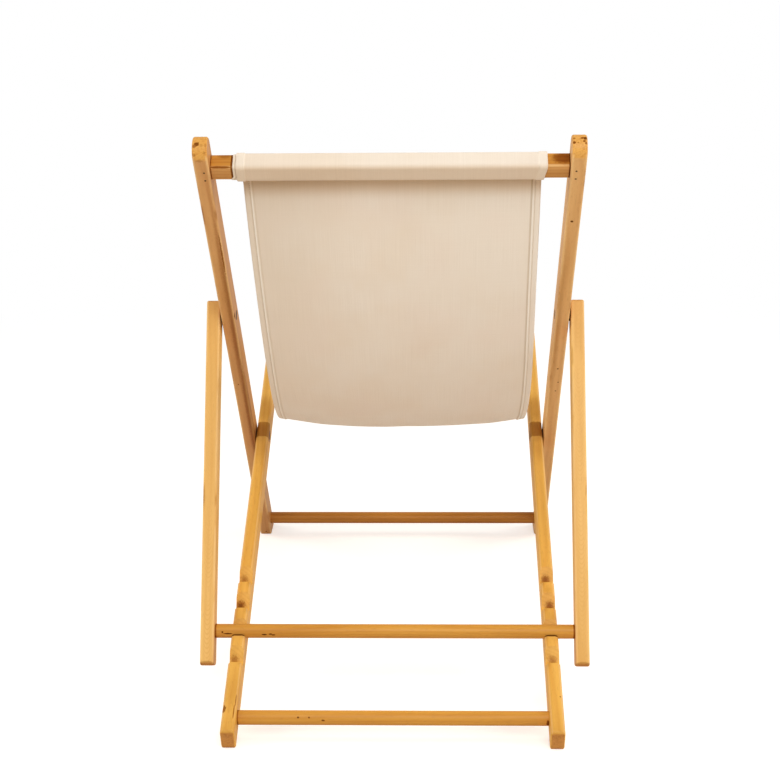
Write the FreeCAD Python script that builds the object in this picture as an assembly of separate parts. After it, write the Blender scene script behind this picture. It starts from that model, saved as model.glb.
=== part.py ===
import FreeCAD, Part
import math
import os

# Folding deck chair: a back frame and a seat frame crossed on two rivets, a strut frame
# riveted to the back frame whose bar drops into notches in the seat rails, and a canvas
# sling sleeved over the top rail and the front rail.
# Millimetres. +X is the sitter's right, +Y the way the sitter faces, +Z up.
# The origin is on the floor, below the middle of the chair's box.

# Driving dimensions: widths across the chair
back_frame_width = 570.0
rail_thickness = 22.0
pivot_gap = 2.0
strut_gap = 3.0

# Driving dimensions: rails, measured from the main pivot along each rail
back_angle = 51.3
seat_angle = 21.9
rail_depth = 42.0
edge_ease = 3.0
seat_top_ease = 6.5
rear_end_ease = 7.0
back_top_length = 799.0
top_rail_from_pivot = 743.0
strut_pivot_from_pivot = 375.0
front_stretcher_from_pivot = 311.0
seat_rear_length = 704.0
seat_front_length = 296.0
front_rail_from_pivot = 256.0
rear_stretcher_from_pivot = 659.0
rear_foot_trim = 1.0

# Driving dimensions: strut frame and the notches that its bar drops into
strut_depth = 37.0
strut_above_pivot = 21.0
strut_below_bar = 55.0
strut_end_ease = 7.0
bar_from_pivot = 496.5
bar_above_centre_line = 16.5
notch_pitch = 58.0
notches_in_front_of_bar = 2
notches_behind_bar = 1
notch_front_slope = 40.0
notch_clearance = 0.35

# Driving dimensions: round stretchers and the rails that carry the sling
stretcher_radius = 11.25
socket_depth = 16.0
socket_clearance = 0.05
sling_rail_height = 29.0
sling_rail_depth = 26.0
sling_rail_ease = 4.0
tenon_height = 26.0
tenon_depth = 12.0

# Driving dimensions: rivets, washers and brads
rivet_radius = 4.0
rivet_running_clearance = 0.06
rivet_head_radius = 8.5
rivet_head_thickness = 1.8
burr_thickness = 1.0
recess_clearance = 0.3
seating_gap = 0.1
washer_radius = 11.0
brad_radius = 1.1
brad_head_radius = 1.6
brad_head_thickness = 0.6
brad_length = 30.0
brad_clearance = 0.03
brad_from_inner_face = 8.0
top_brad_offsets = (11.0, -6.0)
front_brad_offsets = (7.0, -7.0)

# Driving dimensions: canvas sling
sleeve_width = 460.0
sling_width = 447.0
sling_thickness = 1.4
sleeve_thickness = 1.6
sleeve_gap = 0.4
sling_middle_length = 990.0
sling_edge_length = 969.0
sling_half_stations = 2
back_sheet_arcs = 6
seat_sheet_arcs = 3
sheet_split_gap = 0.6
sheet_root_overlap = 0.6

# Widths that follow
half_thickness = rail_thickness / 2
half_depth = rail_depth / 2
back_inner_x = back_frame_width / 2 - rail_thickness
seat_outer_x = back_inner_x - pivot_gap
seat_inner_x = seat_outer_x - rail_thickness
strut_inner_x = back_frame_width / 2 + strut_gap
back_centre_x = back_inner_x + half_thickness
seat_centre_x = seat_inner_x + half_thickness
strut_centre_x = strut_inner_x + half_thickness
strut_outer_x = strut_inner_x + rail_thickness

X_AXIS = FreeCAD.Vector(1, 0, 0)


def on_line(start, angle, along, across=0.0):
    """Side-view point at a distance along a line and to its left, as (y, z)."""
    turn = math.radians(angle)
    y = start[0] + along * math.cos(turn) - across * math.sin(turn)
    z = start[1] + along * math.sin(turn) + across * math.cos(turn)
    return (y, z)


# Side view with the rear ends of the seat rails at y = 0; the origin moves to the middle below
back_up = 180.0 - back_angle
seat_sine = math.sin(math.radians(seat_angle))
seat_cosine = math.cos(math.radians(seat_angle))
half_flat_end = half_depth - rear_end_ease
pivot_height = ((seat_rear_length - rear_end_ease) * seat_sine + half_flat_end * seat_cosine
                + rear_end_ease - rear_foot_trim)
pivot_from_rear = seat_rear_length * seat_cosine
rearmost = rear_end_ease * seat_cosine - half_flat_end * seat_sine - rear_end_ease
foremost = pivot_from_rear + (seat_front_length - half_depth) * seat_cosine + half_depth
middle = (rearmost + foremost) / 2

main_pivot = (pivot_from_rear - middle, pivot_height)
strut_pivot = on_line(main_pivot, back_up, strut_pivot_from_pivot)
strut_bar_centre = on_line(main_pivot, seat_angle, -bar_from_pivot, bar_above_centre_line)
strut_span = math.dist(strut_pivot, strut_bar_centre)
strut_angle = math.degrees(math.atan2(strut_pivot[1] - strut_bar_centre[1],
                                      strut_pivot[0] - strut_bar_centre[0]))


def vector(x, side_point):
    """Vector from an x and a side-view point."""
    return FreeCAD.Vector(x, side_point[0], side_point[1])


def in_place(shape, origin, angle, x=0.0):
    """Turn a shape made along local +Y about the X axis and move it to its origin."""
    shape.Placement = FreeCAD.Placement(vector(x, origin), FreeCAD.Rotation(X_AXIS, angle))
    return shape


def mirrored(shape):
    """Left-hand copy of a right-hand shape."""
    return shape.mirror(FreeCAD.Vector(0, 0, 0), X_AXIS)


def pair(shape):
    """A right-hand piece and its left-hand copy as one group of solids."""
    return Part.Compound([shape, mirrored(shape)])


def rod(radius, x_from, x_to, side_point):
    """Cylinder along X."""
    return Part.makeCylinder(radius, x_to - x_from, vector(x_from, side_point), X_AXIS)


def block(x_from, x_to, along, across):
    """Box given by its x range, its range along a rail and its range across it."""
    size = (x_to - x_from, along[1] - along[0], across[1] - across[0])
    return Part.makeBox(*size, FreeCAD.Vector(x_from, along[0], across[0]))


def prism(edges, x_from, x_to):
    """Solid swept along X from a closed side-view outline drawn at x = x_from."""
    return Part.Face(Part.Wire(edges)).extrude(FreeCAD.Vector(x_to - x_from, 0, 0))


def blank(start, end, depth, round_end, start_ease=0.0, start_lean=0.0):
    """Rail along local +Y with eased edges, round or square at its end.

    Its start is square, has rounder corners by start_ease, or leans by start_lean per unit across.
    """
    half = depth / 2
    corner = end - half if round_end else end
    x = -half_thickness
    low_start = FreeCAD.Vector(x, start + start_ease - start_lean * half, -half)
    low_end = FreeCAD.Vector(x, corner, -half)
    high_end = FreeCAD.Vector(x, corner, half)
    high_start = FreeCAD.Vector(x, start + start_ease + start_lean * half, half)
    if round_end:
        tip = Part.Arc(low_end, FreeCAD.Vector(x, end, 0), high_end).toShape()
    else:
        tip = Part.makeLine(low_end, high_end)
    outline = [Part.makeLine(low_start, low_end), tip, Part.makeLine(high_end, high_start)]
    if start_ease > 0:
        outline.extend(eased_start(x, start, half, start_ease))
    else:
        outline.append(Part.makeLine(high_start, low_start))
    solid = prism(outline, -half_thickness, half_thickness)
    eased = []
    for edge in solid.Edges:
        ends = [v.Point for v in edge.Vertexes]
        on_face = abs(ends[0].x - ends[-1].x) < edge_ease
        at_far_end = ends[0].y > start + half
        rounded = round_end if at_far_end else start_ease > 0
        if on_face or not rounded:
            eased.append(edge)
    return solid.makeFillet(edge_ease, eased)


def eased_start(x, start, half, ease):
    """Edges that close a rail's outline at its start with round corners."""
    inset = ease * (1 - math.sqrt(0.5))
    edges = []
    flat = []
    for sign in (1, -1):
        on_side = FreeCAD.Vector(x, start + ease, sign * half)
        between = FreeCAD.Vector(x, start + inset, sign * (half - inset))
        on_end = FreeCAD.Vector(x, start, sign * (half - ease))
        corner = (on_side, between, on_end) if sign > 0 else (on_end, between, on_side)
        edges.append(Part.Arc(*corner).toShape())
        flat.append(on_end)
    return [edges[0], Part.makeLine(*flat), edges[1]]


def socket(radius, along, across=0.0):
    """Blind round hole in the inner face of a right-hand rail."""
    inner = -half_thickness
    return rod(radius + socket_clearance, inner, inner + socket_depth + socket_clearance, (along, across))


def mortise(along):
    """Blind square hole in the inner face of a right-hand rail for a sling rail's tenon."""
    high = tenon_height / 2 + socket_clearance
    deep = tenon_depth / 2 + socket_clearance
    end = -half_thickness + socket_depth + socket_clearance
    return block(-half_thickness, end, (along - high, along + high), (-deep, deep))


def through_bore(along, radius):
    """Hole right through a rail's thickness."""
    return rod(radius, -half_thickness, half_thickness, (along, 0.0))


def head_recess(along, depth, on_outer_face, clearance):
    """Round recess that sets a rivet head flush with a face of a right-hand rail."""
    if on_outer_face:
        x_from = half_thickness - depth
        x_to = half_thickness
    else:
        x_from = -half_thickness
        x_to = -half_thickness + depth
    return rod(rivet_head_radius + clearance, x_from, x_to, (along, 0.0))


def brad(x, along, face, clearance=0.0):
    """Brad driven square into an edge of a rail, its head just below that face."""
    inward = -1.0 if face > 0 else 1.0
    direction = FreeCAD.Vector(0, 0, inward)
    top = face + inward * brad_head_thickness / 4
    head = Part.makeCylinder(brad_head_radius + clearance, brad_head_thickness + clearance,
                             FreeCAD.Vector(x, along, top), direction)
    shank = Part.makeCylinder(brad_radius + clearance, brad_length + clearance,
                              FreeCAD.Vector(x, along, top), direction)
    return head.fuse(shank).removeSplitter()


def brad_hole(x, along, face):
    """Hole for a brad, open at the face it is driven into."""
    inward = -1.0 if face > 0 else 1.0
    mouth = Part.makeCylinder(brad_head_radius + brad_clearance, brad_head_thickness,
                              FreeCAD.Vector(x, along, face), FreeCAD.Vector(0, 0, inward))
    return brad(x, along, face, brad_clearance).fuse(mouth)


# Back frame
closed_recess_depth = rivet_head_thickness + seating_gap
burr_recess_depth = burr_thickness + rivet_head_thickness + 3 * seating_gap
brad_x_in_rail = brad_from_inner_face - half_thickness
foot_from_pivot = pivot_height / math.sin(math.radians(back_angle))
foot_lean = 1 / math.tan(math.radians(back_angle))


def back_rail():
    """Right rail of the back frame: half-round top, foot cut level with the floor."""
    rail = blank(-foot_from_pivot, back_top_length, rail_depth, True, 0.0, foot_lean)
    cuts = [
        through_bore(0.0, rivet_radius + socket_clearance),
        head_recess(0.0, closed_recess_depth, True, socket_clearance),
        through_bore(strut_pivot_from_pivot, rivet_radius + socket_clearance),
        head_recess(strut_pivot_from_pivot, burr_recess_depth, False, socket_clearance),
        socket(stretcher_radius, -front_stretcher_from_pivot),
        mortise(top_rail_from_pivot),
    ]
    for offset in top_brad_offsets:
        cuts.append(brad_hole(brad_x_in_rail, top_rail_from_pivot + offset, half_depth))
    return in_place(rail.cut(cuts), main_pivot, back_up, back_centre_x)


def sling_rail(inner_x, along, brad_offsets, face):
    """Rail with eased edges that carries a sleeve of the sling, with a tenon at each end."""
    half = sling_rail_height / 2
    deep = sling_rail_depth / 2
    body = block(-inner_x + socket_clearance, inner_x - socket_clearance,
                 (along - half, along + half), (-deep, deep))
    long_edges = [e for e in body.Edges if e.Length > inner_x]
    body = body.makeFillet(sling_rail_ease, long_edges)
    reach = inner_x + socket_depth
    tenon = block(-reach, reach, (along - tenon_height / 2, along + tenon_height / 2),
                  (-tenon_depth / 2, tenon_depth / 2))
    rail = body.fuse(tenon).removeSplitter()
    for offset in brad_offsets:
        for x in (inner_x + brad_from_inner_face, -inner_x - brad_from_inner_face):
            rail = rail.cut(brad_hole(x, along + offset, face))
    return rail


def brads(inner_x, along, offsets, face):
    """The brads that lock both tenons of a sling rail."""
    x = inner_x + brad_from_inner_face
    solids = []
    for offset in offsets:
        solids.append(brad(x, along + offset, face))
        solids.append(brad(-x, along + offset, face))
    return Part.Compound(solids)


def stretcher(inner_x, side_point):
    """Round bar glued into a socket at each end."""
    reach = inner_x + socket_depth
    return rod(stretcher_radius, -reach, reach, side_point)


# Seat frame
def notch(along):
    """Cutter for one notch: upright rear wall, round seat for the bar, sloping front."""
    radius = stretcher_radius + notch_clearance
    slope = math.radians(notch_front_slope)
    centre = (along, bar_above_centre_line)
    over = half_depth + edge_ease
    rear = (along - radius, bar_above_centre_line)
    half_way = math.radians(225.0) + slope / 2
    middle_of_seat = (centre[0] + radius * math.cos(half_way), centre[1] + radius * math.sin(half_way))
    seat_end = (centre[0] + radius * math.sin(slope), centre[1] - radius * math.cos(slope))
    mouth = (seat_end[0] + (over - seat_end[1]) / math.tan(slope), over)
    x = -rail_thickness
    corners = [vector(x, p) for p in ((rear[0], over), rear, seat_end, mouth)]
    edges = [
        Part.makeLine(corners[0], corners[1]),
        Part.Arc(corners[1], vector(x, middle_of_seat), corners[2]).toShape(),
        Part.makeLine(corners[2], corners[3]),
        Part.makeLine(corners[3], corners[0]),
    ]
    return prism(edges, -rail_thickness, rail_thickness)


def top_edge_rounding(side):
    """Cutter along a whole seat rail that rounds one of its upper edges more than the lower ones."""
    radius = seat_top_ease
    off_tangent = radius / 200
    over = 2 * edge_ease
    centre = (half_thickness - radius + off_tangent, half_depth - radius + off_tangent)
    middle = (centre[0] + radius * math.sqrt(0.5), centre[1] + radius * math.sqrt(0.5))
    low = (centre[0] + radius, centre[1])
    high = (centre[0], centre[1] + radius)
    start = -seat_rear_length - over

    def at(x, z):
        return FreeCAD.Vector(side * x, start, z)

    edges = [
        Part.Arc(at(*low), at(*middle), at(*high)).toShape(),
        Part.makeLine(at(*high), at(high[0], half_depth + over)),
        Part.makeLine(at(high[0], half_depth + over), at(half_thickness + over, half_depth + over)),
        Part.makeLine(at(half_thickness + over, half_depth + over), at(half_thickness + over, low[1])),
        Part.makeLine(at(half_thickness + over, low[1]), at(*low)),
    ]
    length = seat_rear_length + seat_front_length + 2 * over
    return Part.Face(Part.Wire(edges)).extrude(FreeCAD.Vector(0, length, 0))


def above_floor(shape):
    """Cut a placed rail level where it meets the floor."""
    side = 3 * back_top_length
    room = Part.makeBox(side, side, side, FreeCAD.Vector(-side / 2, -side / 2, 0))
    return shape.common(room)


def seat_rail():
    """Right rail of the seat frame: round front end, notches, eased rear end that stands."""
    rail = blank(-seat_rear_length, seat_front_length, rail_depth, True, rear_end_ease)
    rail = rail.cut([top_edge_rounding(1), top_edge_rounding(-1)])
    cuts = [
        through_bore(0.0, rivet_radius + rivet_running_clearance),
        head_recess(0.0, burr_recess_depth, False, recess_clearance),
        socket(stretcher_radius, -rear_stretcher_from_pivot),
        mortise(front_rail_from_pivot),
    ]
    for step in range(-notches_behind_bar, notches_in_front_of_bar + 1):
        cuts.append(notch(step * notch_pitch - bar_from_pivot))
    for offset in front_brad_offsets:
        cuts.append(brad_hole(brad_x_in_rail, front_rail_from_pivot + offset, -half_depth))
    return above_floor(in_place(rail.cut(cuts), main_pivot, seat_angle, seat_centre_x))


# Strut frame
def strut():
    """Right strut: eased top, rounder corners at the bottom, drilled for its rivet and its bar."""
    rail = blank(-strut_span - strut_below_bar, strut_above_pivot, strut_depth, False, strut_end_ease)
    cuts = [
        through_bore(0.0, rivet_radius + rivet_running_clearance),
        head_recess(0.0, closed_recess_depth, True, recess_clearance),
        socket(stretcher_radius, -strut_span),
    ]
    return in_place(rail.cut(cuts), strut_pivot, strut_angle, strut_centre_x)


# Rivets and washers, all on the right-hand side
def rivet(outer_x, inner_x, centre):
    """Rivet with a flush head at its outer end and a peened head inside its inner recess."""
    head_to = outer_x - seating_gap / 2
    peen_from = inner_x + seating_gap
    shank = rod(rivet_radius, peen_from, head_to, centre)
    head = rod(rivet_head_radius, head_to - rivet_head_thickness, head_to, centre)
    peen = rod(rivet_head_radius, peen_from, peen_from + rivet_head_thickness, centre)
    return shank.fuse([head, peen]).removeSplitter()


def ring(radius, x_from, x_to, centre):
    """Flat washer round a rivet."""
    hole = rod(rivet_radius + rivet_running_clearance, x_from, x_to, centre)
    return rod(radius, x_from, x_to, centre).cut(hole)


def burr(inner_x, centre):
    """Small washer that the rivet is peened over, at the bottom of its recess."""
    x_from = inner_x + rivet_head_thickness + 2 * seating_gap
    return ring(rivet_head_radius, x_from, x_from + burr_thickness, centre)


def washer(x_from, x_to, centre):
    """Washer that fills the gap between two rails, less its seating gaps."""
    return ring(washer_radius, x_from + seating_gap, x_to - seating_gap, centre)


# Canvas sling: each half is a sleeve round its rail and a sheet that hangs from it
def rounded_outline(x, along, high, deep, radius):
    """Closed outline of a rectangle with round corners, centred on a rail's centre line."""
    turn = radius * (1 - math.sqrt(0.5))
    edges = []
    for high_sign, deep_sign in ((1, 1), (-1, 1), (-1, -1), (1, -1)):
        first = (along + high_sign * high, deep_sign * (deep - radius))
        second = (along + high_sign * (high - radius), deep_sign * deep)
        between = (along + high_sign * (high - turn), deep_sign * (deep - turn))
        if high_sign != deep_sign:
            first, second = second, first
        edges.append(Part.Arc(vector(x, first), vector(x, between), vector(x, second)).toShape())
    corners = list(edges)
    for near, far in zip(corners, corners[1:] + corners[:1]):
        edges.append(Part.makeLine(near.Vertexes[-1].Point, far.Vertexes[0].Point))
    return Part.__sortEdges__(edges)


def sleeve(along):
    """Closed band of canvas round a sling rail, in the local frame of the rail's frame."""
    shells = []
    for grow in (sleeve_gap + sleeve_thickness, sleeve_gap):
        outline = rounded_outline(-sleeve_width / 2, along, sling_rail_height / 2 + grow,
                                  sling_rail_depth / 2 + grow, sling_rail_ease + grow)
        shells.append(prism(outline, -sleeve_width / 2, sleeve_width / 2))
    return shells[0].cut(shells[1])


class HangingLine:
    """Curve of a limp sheet of a given length between two points of the side view."""

    def __init__(self, start, end, length):
        rise = end[1] - start[1]
        span = end[0] - start[0]
        target = math.sqrt(length ** 2 - rise ** 2) / span
        low = 1e-6
        high = 10.0
        for _ in range(100):
            guess = (low + high) / 2
            if math.sinh(guess) / guess < target:
                low = guess
            else:
                high = guess
        self.scale = span / (2 * low)
        first = math.atanh(rise / length) - low
        self.length = length
        self.lowest_y = start[0] - self.scale * first
        self.base_z = start[1] - self.scale * math.cosh(first)
        self.to_lowest = -self.scale * math.sinh(first)

    def slope(self, travel):
        """Angle of the sheet, in radians, after a length of travel from its start."""
        return math.atan((travel - self.to_lowest) / self.scale)

    def point(self, travel, above=0.0):
        """Side-view point after a length of travel, moved off the curve by above."""
        past = travel - self.to_lowest
        y = self.lowest_y + self.scale * math.asinh(past / self.scale)
        z = self.base_z + math.hypot(self.scale, past)
        slope = self.slope(travel)
        return (y - above * math.sin(slope), z + above * math.cos(slope))


def leaving_point(angle, along, corner_sign, sheet_slope):
    """Middle of a sleeve's wall where the sheet leaves the corner of its rail at a slope."""
    inset = sling_rail_height / 2 - sling_rail_ease
    deep = sling_rail_depth / 2 - sling_rail_ease
    centre = on_line(main_pivot, angle, along - inset, corner_sign * deep)
    radius = sling_rail_ease + sleeve_gap + sleeve_thickness / 2
    return on_line(centre, math.degrees(sheet_slope), 0.0, radius)


def hanging_line(length):
    """Hanging line that leaves both sleeves along their own walls."""
    start_slope = -math.radians(90.0 - seat_angle)
    end_slope = math.radians(back_angle)
    for _ in range(12):
        start = leaving_point(back_up, top_rail_from_pivot, -1, start_slope)
        end = leaving_point(seat_angle, front_rail_from_pivot, 1, end_slope)
        line = HangingLine(start, end, length)
        start_slope = line.slope(0.0)
        end_slope = line.slope(length)
    return line


def sheet_outline(x, line, travel_from, travel_to, arcs):
    """Closed outline of the sheet between two lengths of travel, as chains of arcs."""
    step = (travel_to - travel_from) / (2 * arcs)
    travels = [travel_from + i * step for i in range(2 * arcs + 1)]
    edges = []
    sides = []
    for above in (sling_thickness / 2, -sling_thickness / 2):
        points = [vector(x, line.point(t, above)) for t in travels]
        sides.append(points)
        for i in range(0, 2 * arcs, 2):
            edges.append(Part.Arc(points[i], points[i + 1], points[i + 2]).toShape())
    edges.append(Part.makeLine(sides[0][0], sides[1][0]))
    edges.append(Part.makeLine(sides[0][-1], sides[1][-1]))
    return Part.Wire(Part.__sortEdges__(edges))


def sheet(arcs, hangs_from_top):
    """One half of the hanging sheet, fuller along the middle of the chair than at its hems."""
    outlines = []
    for i in range(-sling_half_stations, sling_half_stations + 1):
        across = i / sling_half_stations
        fullness = 1 - across ** 2
        line = hanging_line(sling_edge_length + fullness * (sling_middle_length - sling_edge_length))
        if hangs_from_top:
            travel = (-sheet_root_overlap, line.to_lowest - sheet_split_gap / 2)
        else:
            travel = (line.to_lowest + sheet_split_gap / 2, line.length + sheet_root_overlap)
        outlines.append(sheet_outline(across * sling_width / 2, line, *travel, arcs))
    return Part.makeLoft(outlines, True, True)


def sling_half(along, angle, arcs, hangs_from_top):
    """Sleeve and sheet of one half of the sling as one solid."""
    band = in_place(sleeve(along), main_pivot, angle)
    return band.fuse(sheet(arcs, hangs_from_top))


def build():
    """All pieces by node name."""
    back_rail_right = back_rail()
    seat_rail_right = seat_rail()
    strut_right = strut()
    top_rail = sling_rail(back_inner_x, top_rail_from_pivot, top_brad_offsets, half_depth)
    front_rail = sling_rail(seat_inner_x, front_rail_from_pivot, front_brad_offsets, -half_depth)
    top_brads = brads(back_inner_x, top_rail_from_pivot, top_brad_offsets, half_depth)
    front_brads = brads(seat_inner_x, front_rail_from_pivot, front_brad_offsets, -half_depth)
    front_stretcher_centre = on_line(main_pivot, back_up, -front_stretcher_from_pivot)
    rear_stretcher_centre = on_line(main_pivot, seat_angle, -rear_stretcher_from_pivot)
    return {
        "back_rail_right": back_rail_right,
        "back_rail_left": mirrored(back_rail_right),
        "top_rail": in_place(top_rail, main_pivot, back_up),
        "top_rail_brads": in_place(top_brads, main_pivot, back_up),
        "front_stretcher": stretcher(back_inner_x, front_stretcher_centre),
        "seat_rail_right": seat_rail_right,
        "seat_rail_left": mirrored(seat_rail_right),
        "front_rail": in_place(front_rail, main_pivot, seat_angle),
        "front_rail_brads": in_place(front_brads, main_pivot, seat_angle),
        "rear_stretcher": stretcher(seat_inner_x, rear_stretcher_centre),
        "strut_right": strut_right,
        "strut_left": mirrored(strut_right),
        "strut_bar": stretcher(strut_inner_x, strut_bar_centre),
        "main_pivot_rivets": pair(rivet(back_frame_width / 2, seat_inner_x, main_pivot)),
        "main_pivot_washers": pair(washer(seat_outer_x, back_inner_x, main_pivot)),
        "main_pivot_burrs": pair(burr(seat_inner_x, main_pivot)),
        "strut_pivot_rivets": pair(rivet(strut_outer_x, back_inner_x, strut_pivot)),
        "strut_pivot_washers": pair(washer(back_frame_width / 2, strut_inner_x, strut_pivot)),
        "strut_pivot_burrs": pair(burr(back_inner_x, strut_pivot)),
        "sling_back": sling_half(top_rail_from_pivot, back_up, back_sheet_arcs, True),
        "sling_seat": sling_half(front_rail_from_pivot, seat_angle, seat_sheet_arcs, False),
    }


def main():
    os.makedirs("parts", exist_ok=True)
    for name, shape in build().items():
        solids = shape.Solids
        box = shape.BoundBox
        print(f"{name}: {len(solids)} solids, valid {shape.isValid()}, {shape.Volume / 1000:.1f} cm3, "
              f"y {box.YMin:.1f} to {box.YMax:.1f}, z {box.ZMin:.1f} to {box.ZMax:.1f}")
        shape.exportStep(f"parts/{name}.step")
    print(f"main pivot {main_pivot[0]:.3f} {main_pivot[1]:.3f}")
    print(f"strut pivot {strut_pivot[0]:.3f} {strut_pivot[1]:.3f}, strut span {strut_span:.2f}")
    print(f"strut angle {strut_angle:.3f}, strut bar {strut_bar_centre[0]:.3f} {strut_bar_centre[1]:.3f}")


main()
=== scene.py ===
"""Looks of the folding deck chair: beech frames, a hung canvas sling and a pale studio."""

import logging
import math
from dataclasses import dataclass, replace
from enum import Enum
from typing import Any

import bpy
import numpy as np
from mathutils import Matrix, Vector

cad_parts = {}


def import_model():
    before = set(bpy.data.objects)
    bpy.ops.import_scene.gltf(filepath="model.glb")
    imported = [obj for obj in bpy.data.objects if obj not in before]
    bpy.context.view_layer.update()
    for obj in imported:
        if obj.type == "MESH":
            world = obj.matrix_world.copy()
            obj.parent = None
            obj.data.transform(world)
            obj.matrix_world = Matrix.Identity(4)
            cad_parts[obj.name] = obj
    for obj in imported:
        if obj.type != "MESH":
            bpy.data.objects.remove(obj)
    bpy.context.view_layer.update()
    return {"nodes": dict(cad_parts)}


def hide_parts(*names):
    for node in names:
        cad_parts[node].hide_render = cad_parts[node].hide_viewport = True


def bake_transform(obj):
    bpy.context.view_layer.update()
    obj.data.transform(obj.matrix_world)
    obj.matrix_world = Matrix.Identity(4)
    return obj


log = logging.getLogger("deck_chair")

Colour = tuple[float, float, float]
Point = tuple[float, float, float]
SidePoint = tuple[float, float]
Span = tuple[float, float]

# Places in the side view are (y, z) in metres, and the rails' angles are in degrees up from the floor.
PIVOT: SidePoint = (0.191384, 0.278962)
STRUT_PIVOT: SidePoint = (-0.043082, 0.571624)
BACK_UP = 128.7
SEAT_UP = 21.9
STRUT_UP = 63.327

# Places along the rails from the main pivot, and half sizes across the thickness and the depth.
TOP_RAIL_AT = 0.743
FRONT_RAIL_AT = 0.256
RAIL_HALF: SidePoint = (0.011, 0.021)
STRUT_HALF: SidePoint = (0.011, 0.0185)
SLING_RAIL_HALF: SidePoint = (0.0130, 0.0145)
BAR_RADIUS = 0.01125

FULL_TURN = 2 * math.pi
QUARTER_TURN = math.pi / 2
WHITE = (1.0, 1.0, 1.0, 1.0)


class Signal:
    """A shader socket that takes part in Python arithmetic by adding Math nodes."""

    def __init__(self, graph: "Graph", socket: bpy.types.NodeSocket) -> None:
        """Wrap one output socket of a graph."""
        self.graph = graph
        self.socket = socket

    def _math(self, operation: str, first: "Signal | float", second: "Signal | float") -> "Signal":
        """Add a Math node.

        Args:
            operation: name of the Math node's operation.
            first: value or signal for its first socket.
            second: value or signal for its second socket.

        Returns:
            The node's result.
        """
        return self.graph.node("ShaderNodeMath", {"operation": operation}, {0: first, 1: second})

    def __add__(self, other: "Signal | float") -> "Signal":
        """self + other."""
        return self._math("ADD", self, other)

    def __radd__(self, other: float) -> "Signal":
        """other + self."""
        return self._math("ADD", other, self)

    def __sub__(self, other: "Signal | float") -> "Signal":
        """self - other."""
        return self._math("SUBTRACT", self, other)

    def __rsub__(self, other: float) -> "Signal":
        """other - self."""
        return self._math("SUBTRACT", other, self)

    def __mul__(self, other: "Signal | float") -> "Signal":
        """self * other."""
        return self._math("MULTIPLY", self, other)

    def __rmul__(self, other: float) -> "Signal":
        """other * self."""
        return self._math("MULTIPLY", other, self)

    def __truediv__(self, other: "Signal | float") -> "Signal":
        """self / other."""
        return self._math("DIVIDE", self, other)

    def __pow__(self, other: "Signal | float") -> "Signal":
        """self ** other."""
        return self._math("POWER", self, other)

    def __abs__(self) -> "Signal":
        """Distance from zero."""
        return self._math("ABSOLUTE", self, 0.0)

    def sine(self) -> "Signal":
        """Sine of the value in radians."""
        return self._math("SINE", self, 0.0)

    def larger(self, other: "Signal | float") -> "Signal":
        """The larger of two values."""
        return self._math("MAXIMUM", self, other)

    def rise(self, low: float, high: float) -> "Signal":
        """Smooth step.

        Args:
            low: value at which the step is 0.
            high: value at which the step is 1; below low for a falling step.

        Returns:
            A mask from 0 to 1.
        """
        first, last = (0.0, 1.0) if low < high else (1.0, 0.0)
        return self.graph.node("ShaderNodeMapRange", {"interpolation_type": "SMOOTHSTEP"},
                               {0: self, 1: min(low, high), 2: max(low, high), 3: first, 4: last})


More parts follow.
